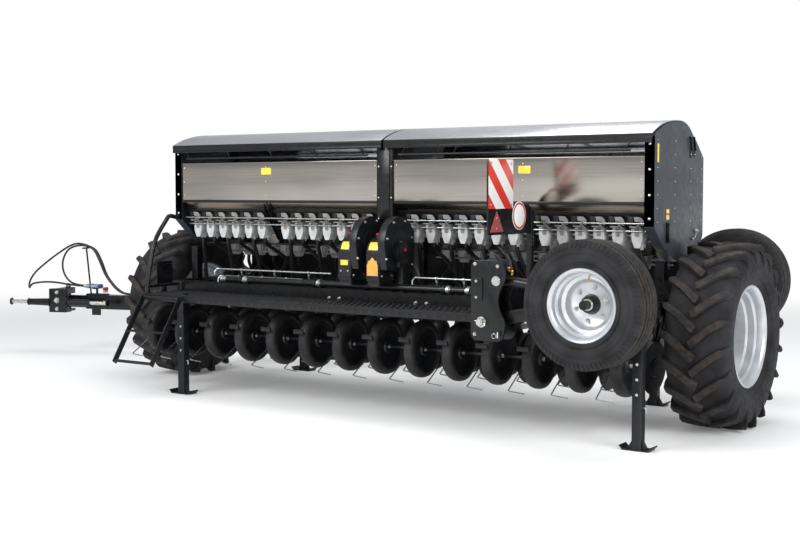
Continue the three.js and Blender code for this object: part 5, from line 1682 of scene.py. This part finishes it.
def transport_gear():
    """Bracket plates, arm, ram, bolts and oil lines at each end of the drill."""
    for end, way in ENDS:
        plates = Shape()
        for middle in (-1150, -1000):
            plates.plate("y", bracket_outline(), way * (middle - 9.7), way * (middle + 9.7), 2.5)
        plates.plate(
            "y", oblong((1122, 850), (1196, 990), 12, 4), way * PLATE_FACE, way * (PLATE_FACE - 7), 2,
        )
        plates.box((1120, way * -1150, 770), (1136, way * -1000, 970), 3)
        frame_face = -590.3 if way > 0 else 530.3
        plates.box((1116, way * -1000, 730.4), (1246, frame_face, 910), 8)
        piece(f"transport_plates_{end}", plates, BLACK, replaces=[f"transport_bracket_{end}"])

        body = f"transport_arm_{end}"
        arm = Shape()
        y = way * -ARM_Y
        arm.bar((PIVOT[0], y, PIVOT[1]), (HUB[0], y, HUB[1]), 60, 80, 6)
        for x, z in (PIVOT, HUB):
            arm.rod((x, y - 30, z), (x, y + 30, z), 56, 40, 3)
        arm.plate(
            "y",
            rounded(
                [
                    (1680, 830), (1820, 856), (EYE[0] + 26, EYE[1] - 4, 24),
                    (EYE[0] + 6, EYE[1] + 26, 24), (EYE[0] - 20, EYE[1] + 14, 22),
                ],
                8, 5,
            ),
            y - 9.7, y + 9.7, 2,
        )
        arm.rod((HUB[0], way * -1100, HUB[1]), (HUB[0], way * -1336, HUB[1]), 27.6, 32, 2)
        arm.rod((HUB[0], way * -1104, HUB[1]), (HUB[0], way * -1118, HUB[1]), 46, 32, 3)
        piece(f"transport_beam_{end}", arm, BLACK, body, replaces=[body])

        barrel = Shape()
        barrel.rod(on_ram(34, y), on_ram(296, y), 33.6, 36, 2)
        barrel.rod(on_ram(276, y), on_ram(300, y), 33.9, 36, 2)
        barrel.rod(on_ram(0, y - 25), on_ram(0, y + 25), 37.6, 36, 3)
        fittings = Shape()
        for reach in (64, 260):
            port = Vector(on_ram(reach, y))
            barrel.rod(port, port + Vector((0, 0, 34)), 12, 16)
            fittings.nut(port + Vector((0, 0, 40)), (0, 0, 1), 20, 12, 0, False)
        name = f"transport_ram_barrel_{end}"
        piece(f"ram_tube_{end}", barrel, BLACK, f"ram_barrel_{end}", replaces=[name])
        piece(f"ram_fittings_{end}", fittings, BRASS, f"ram_barrel_{end}")

        rod = Shape().rod(on_ram(300, y), on_ram(420, y), 17.6, 32)
        piece(f"ram_rod_bright_{end}", rod, CHROME, f"ram_rod_{end}", replaces=[f"transport_ram_rod_{end}"])
        fork = Shape()
        fork.bar(on_ram(397, y), on_ram(419, y), 44, 45, 3)
        for side in (-1, 1):
            fork.bar(on_ram(409, y + side * 16.5), on_ram(470, y + side * 16.5), 11.6, 45, 2)
            fork.rod(on_ram(469.3, y + side * 11), on_ram(469.3, y + side * 22.3), 23, 28)
        piece(f"ram_fork_{end}", fork, BLACK, f"ram_rod_{end}")

        heads = Shape()
        front = way * PLATE_FACE
        away = (0, -way, 0)
        for (x, z), out, radius, steps, rim in (
            (RAM_PIN, 9, 31, 36, 3),
            (RAM_PIN, 13, 20, 30, 2),
            (PIVOT, 5, 34, 36, 2),
        ):
            heads.rod((x, front, z), (x, front - way * out, z), radius, steps, rim)
        heads.nut((PIVOT[0], front - way * 5, PIVOT[1]), away, 46, 20, 5)
        cotter = ((-34, 18, 8), (30, 18, -6), (36, 24, -22))
        cotter = [(PIVOT[0] + x, front - way * out, PIVOT[1] + z) for x, out, z in cotter]
        heads.tube(smooth_line(cotter, 4), 2.6, 8)
        hook = [(1318, front - way * out, z) for out, z in ((3, 660), (22, 660), (28, 654), (28, 628))]
        heads.tube(smooth_line(hook, 5), 7, 14)
        clip = [(x, front - way * 8, z) for x, z in arc((1280, 636), 15, -60, 280, 17)]
        heads.tube(clip, 1.8, 8)
        for x, z in ((1140, 640), (1140, 1076), (1300, 1066), (1152, 870), (1152, 970)):
            heads.nut((x, front, z), away, 17, 8, 3)
        piece(f"transport_bolts_{end}", heads, BOLT)

        # steel oil lines that rise from the frame in a loop over the plates
        lines, joints = Shape(), Shape()
        for k, (x, top) in enumerate(((1230, 1168), (1262, 1150), (1212, 1140))):
            y_in = way * (-1040 - 22 * k)
            start = way * OIL_START
            loop = [
                (x - 90, start, 936), (x - 70, way * -760, 1000), (x - 20, way * -900, top - 20),
                (x + 20, y_in, top), (x + 62, y_in, top - 40), (x + 84, y_in, top - 110),
            ]
            lines.tube(smooth_line(loop, 7), 8, 14)
            lines.rod((x - 90, start, 906), (x - 90, start, 940), 11, 16)
            joints.nut((x + 84, y_in, top - 112), (0, 0, -1), 22, 16, 10, False)
            joints.nut((x - 90, start, 912), (0, 0, 1), 24, 12, 0, False)
        piece(f"oil_lines_{end}", lines, HOSE, "chassis", "black_paint")
        piece(f"oil_line_nuts_{end}", joints, BRASS)


transport_gear()


# ------------------------------------------------------------------ parking stands and drawbar
def stands():
    """Parking stands with flat zinc dots at their pin holes, and a hook."""
    for node, x, y in (
        ("stand_rear_right", 2158, -989),
        ("stand_rear_left", -1548, -925),
        ("stand_front_right", 1614, 566),
        ("stand_front_left", -1563, 566),
    ):
        eased(node, SATIN, 3)
        pin = Shape()
        for k in range(3):
            z = 330 + 90 * k
            pin.dome((x, y - 30, z), (0, -1, 0), 9, 0.4, 16)
        hook = [Vector((x + out, y, z)) for out, z in ((31, 252), (40, 252), (46, 246), (46, 224))]
        pin.tube(smooth_line(hook, 4), 5, 12)
        piece(f"{node}_pin", pin, ZINC, node)


stands()


def across(along, ahead, z):
    """A point by its place on the cross bar: along it from its middle, and ahead of the hitch pin."""
    turn = math.radians(20)
    return Vector(
        (
            HITCH.x + math.cos(turn) * along + math.sin(turn) * ahead,
            HITCH.y + math.sin(turn) * along - math.cos(turn) * ahead,
            z,
        )
    )


def on_pins(along):
    """A point on the axis of the two spool pins, by its distance from the cross bar's middle."""
    return across(along, 180, 485)


def drawbar_and_hitch():
    """The drawbar, its bolts, and the cross bar with its spool pins."""
    eased("drawbar_boom", BLACK, 4)
    eased("drawbar", BLACK, 5)
    bolts = Shape()
    for along in (420, 980, 2600, 4200):
        bolts.nut(on_drawbar(along, 485, -60.2), -DRAW_SIDE, 24, 12, 6)
    for s in (-1, 1):
        bolts.nut(
            on_drawbar(4384, 550 if s > 0 else 420, 0) + Vector((0, 0, s * 40)), (0, 0, s), 44, 22, 10,
        )
    piece("drawbar_bolts", bolts, BOLT, "drawbar")

    body = Shape()
    body.bar(across(-90, 180, 502.5), across(90, 180, 502.5), 60, 222, 8)
    for low, high in ((391, 414), (556, 614)):
        z = (low + high) / 2
        body.bar(across(0, -45, z), across(0, 180, z), 100, high - low, 5)
    body.rod(across(0, 0, 379), across(0, 0, 626), 24.6, 32, 2)
    for s in (-1, 1):
        body.rod(on_pins(s * 80), on_pins(s * 310), 35.6, 36, 2, tip=29.6)
        body.rod(on_pins(s * 96), on_pins(s * 84), 46, 36, 3)
        for back in (0, 182):
            body.rod(on_pins(s * (490 - back)), on_pins(s * (500 - back)), 33.6, 32, 2)
    piece("hitch_frame", body, BLACK, "hitch", replaces=["hitch_crossbar"])
    spool = Shape()
    for s in (-1, 1):
        spool.rod(on_pins(s * 300), on_pins(s * 492), 17.6, 32, 1)
        spool.rod(on_pins(s * 392), on_pins(s * 402), 21, 32, 2)
    for z, size in ((580, 26), (505, 38), (425, 26)):
        spool.nut(across(-6, 210, z), across(0, 1, 0) - across(0, 0, 0), size, size * 0.5, 5)
        spool.nut(across(-6, 150, z), across(0, 0, 0) - across(0, 1, 0), size, size * 0.5, 5)
    spool.nut(across(0, 0, 626), (0, 0, 1), 40, 18, 6)
    piece("hitch_bright_parts", spool, BOLT, "hitch")


drawbar_and_hitch()
eased("hose_stand", SATIN, 1.2)


COUPLER_Z = 632


def couplers():
    """The hoses' couplers, parked in their rack under blue and red caps."""
    metal = Shape()
    caps = Shape()
    blues = Shape()
    for aside in (0, -36):
        for shape, first, last, radius, steps, rim in (
            (metal, 226, 348, 20.4, 28, 3),
            (metal, 196, 228, 13, 24, 2),
            (blues, 348, 372, 21, 28, 5),
            (blues, 262, 282, 22.4, 28, 2),
        ):
            start, end = (on_drawbar(along, COUPLER_Z, aside) for along in (first, last))
            shape.rod(start, end, radius, steps, rim)
        metal.nut(on_drawbar(214, COUPLER_Z, aside), -DRAW, 26, 12, 0, False)
    for aside in (26, 62):
        metal.rod(on_drawbar(404, 573, aside - 40), on_drawbar(404, 596, aside - 40), 14, 24, 2)
        caps.rod(on_drawbar(404, 596, aside - 40), on_drawbar(404, 622, aside - 40), 17, 24, 5)
    piece("coupler_sleeves", metal, ZINC, "drawbar")
    piece("coupler_blue_caps", blues, BLUE, "drawbar")
    piece("coupler_red_caps", caps, RED_CAP, "drawbar")
    marks = Shape()
    for aside, z in ((34, 560), (0, 560)):
        line = [on_drawbar(700 + 12 * k, z, aside) for k in range(6)]
        marks.tube(line, 9.7, 16)
    piece("hose_labels", marks, WHITE, "drawbar")


couplers()


# ------------------------------------------------------------------ boards and signs
def signs():
    """A striped board, a red triangle and a round sign without a number, on one carrier."""
    near, far, low, high = -1091, -779, 1414, 1726
    sheet = Shape().plate("x", oblong((near, low), (far, high), 8, 4), 1194.4, 1196.3, 0.6)
    piece("striped_board", sheet, striped_board(near, low), "chassis", "sign_sheet", ["warning_board"])
    back = Shape().box((1192.4, near + 4, low + 4), (1194.6, far - 4, high - 4), 0.6)
    back.box((1192.4, -1001, low - 40), (1194.4, -981, low + 10), 0.5)
    triangle = [(-1083, 1263), (-899, 1263), (-991, 1408)]
    back.plate("x", rounded(triangle, 12, 4), 1192.4, 1194, 0.5)
    piece("board_backing", back, SATIN)
    inner = [(-1077, 1267), (-905, 1267), (-991, 1403)]
    lens = Shape().plate("x", rounded(inner, 12, 4), 1193.8, 1199, 1.5)
    piece("reflector_triangle", lens, RED_LENS)
    screws = Shape()
    for y, z in ((-1064, 1440), (-806, 1440), (-1064, 1700), (-806, 1700)):
        screws.nut((1196.3, y, z), (1, 0, 0), 12, 4, 2)
    for z in (1290, 1356):
        screws.dome((1199, -991, z), (1, 0, 0), 8, 3)
    piece("board_screws", screws, BOLT)

    edge = [
        (-1088, 1250), (-521, 1250), (-521, 1402), (-559, 1440), (-771, 1440), (-771, 1720),
        (-1088, 1720),
    ]
    carrier = Shape().plate("x", rounded(edge, 20, 5), 1186.2, 1192, 1)
    carrier.box((1170, -550, FRAME_TOP), (1210, -520.2, 1404), 3)
    carrier.box((1180, -546, 1250), (1192, -524, 1425), 2)
    carrier.box((1174, -1080, 1252), (1187, -1070, 1715), 1.5)
    piece("sign_carrier", carrier, BLACK, replaces=["speed_sign"])
    centre = (1192, -691, 1367)
    disc = Shape().turned("x", centre, [(0, 0), (0, 91), (1.6, 91), (2, 90.4), (2, 0)], 64)
    piece("round_sign_disc", disc, WHITE)
    band = Shape().turned("x", centre, [(1.8, 72), (1.8, 87), (2.6, 87), (2.6, 72)], 64)
    piece("round_sign_ring", band, RED)


signs()


# ------------------------------------------------------------------ floor, light and world
def setting():
    """The plain floor, the studio's white world and four soft lamps."""
    bpy.ops.mesh.primitive_plane_add(size=120)
    floor = bpy.context.object
    floor.name = "floor"
    floor.data.materials.append(floor_finish())
    world = bpy.data.worlds.new("studio")
    bpy.context.scene.world = world
    world.use_nodes = True
    tree = world.node_tree
    back = tree.nodes["Background"]
    back.inputs["Color"].default_value = (0.93, 0.95, 1.0, 1)
    back.inputs["Strength"].default_value = 0.55
    white = add(tree, "ShaderNodeBackground", {"Color": (1, 1, 1, 1), "Strength": 1.0})
    ray = add(tree, "ShaderNodeLightPath").outputs
    seen = add(
        tree, "ShaderNodeMath", {0: ray["Is Camera Ray"], 1: ray["Is Transmission Ray"]},
        operation="ADD", use_clamp=True,
    )
    mix = add(tree, "ShaderNodeMixShader", {0: seen.outputs[0], 1: back.outputs[0], 2: white.outputs[0]})
    tree.links.new(mix.outputs[0], tree.nodes["World Output"].inputs["Surface"])
    for name, spot, aim, size, power in (
        ("key", (-2500, -6500, 5200), (0, -400, 900), 4.0, 420),
        ("side", (7500, -2500, 3800), (1500, 0, 900), 3.5, 300),
        ("top", (500, 1500, 6500), (0, 0, 1200), 5.0, 260),
        ("low", (2500, -7000, 900), (500, -500, 700), 3.0, 90),
    ):
        lamp = bpy.data.lights.new(name, "AREA")
        lamp.size = size
        lamp.energy = power
        stand = bpy.data.objects.new(name, lamp)
        bpy.context.scene.collection.objects.link(stand)
        stand.location = row(*spot)
        stand.rotation_euler = (row(*aim) - stand.location).to_track_quat("-Z", "Y").to_euler()
    bpy.context.scene.view_settings.view_transform = "Standard"


setting()
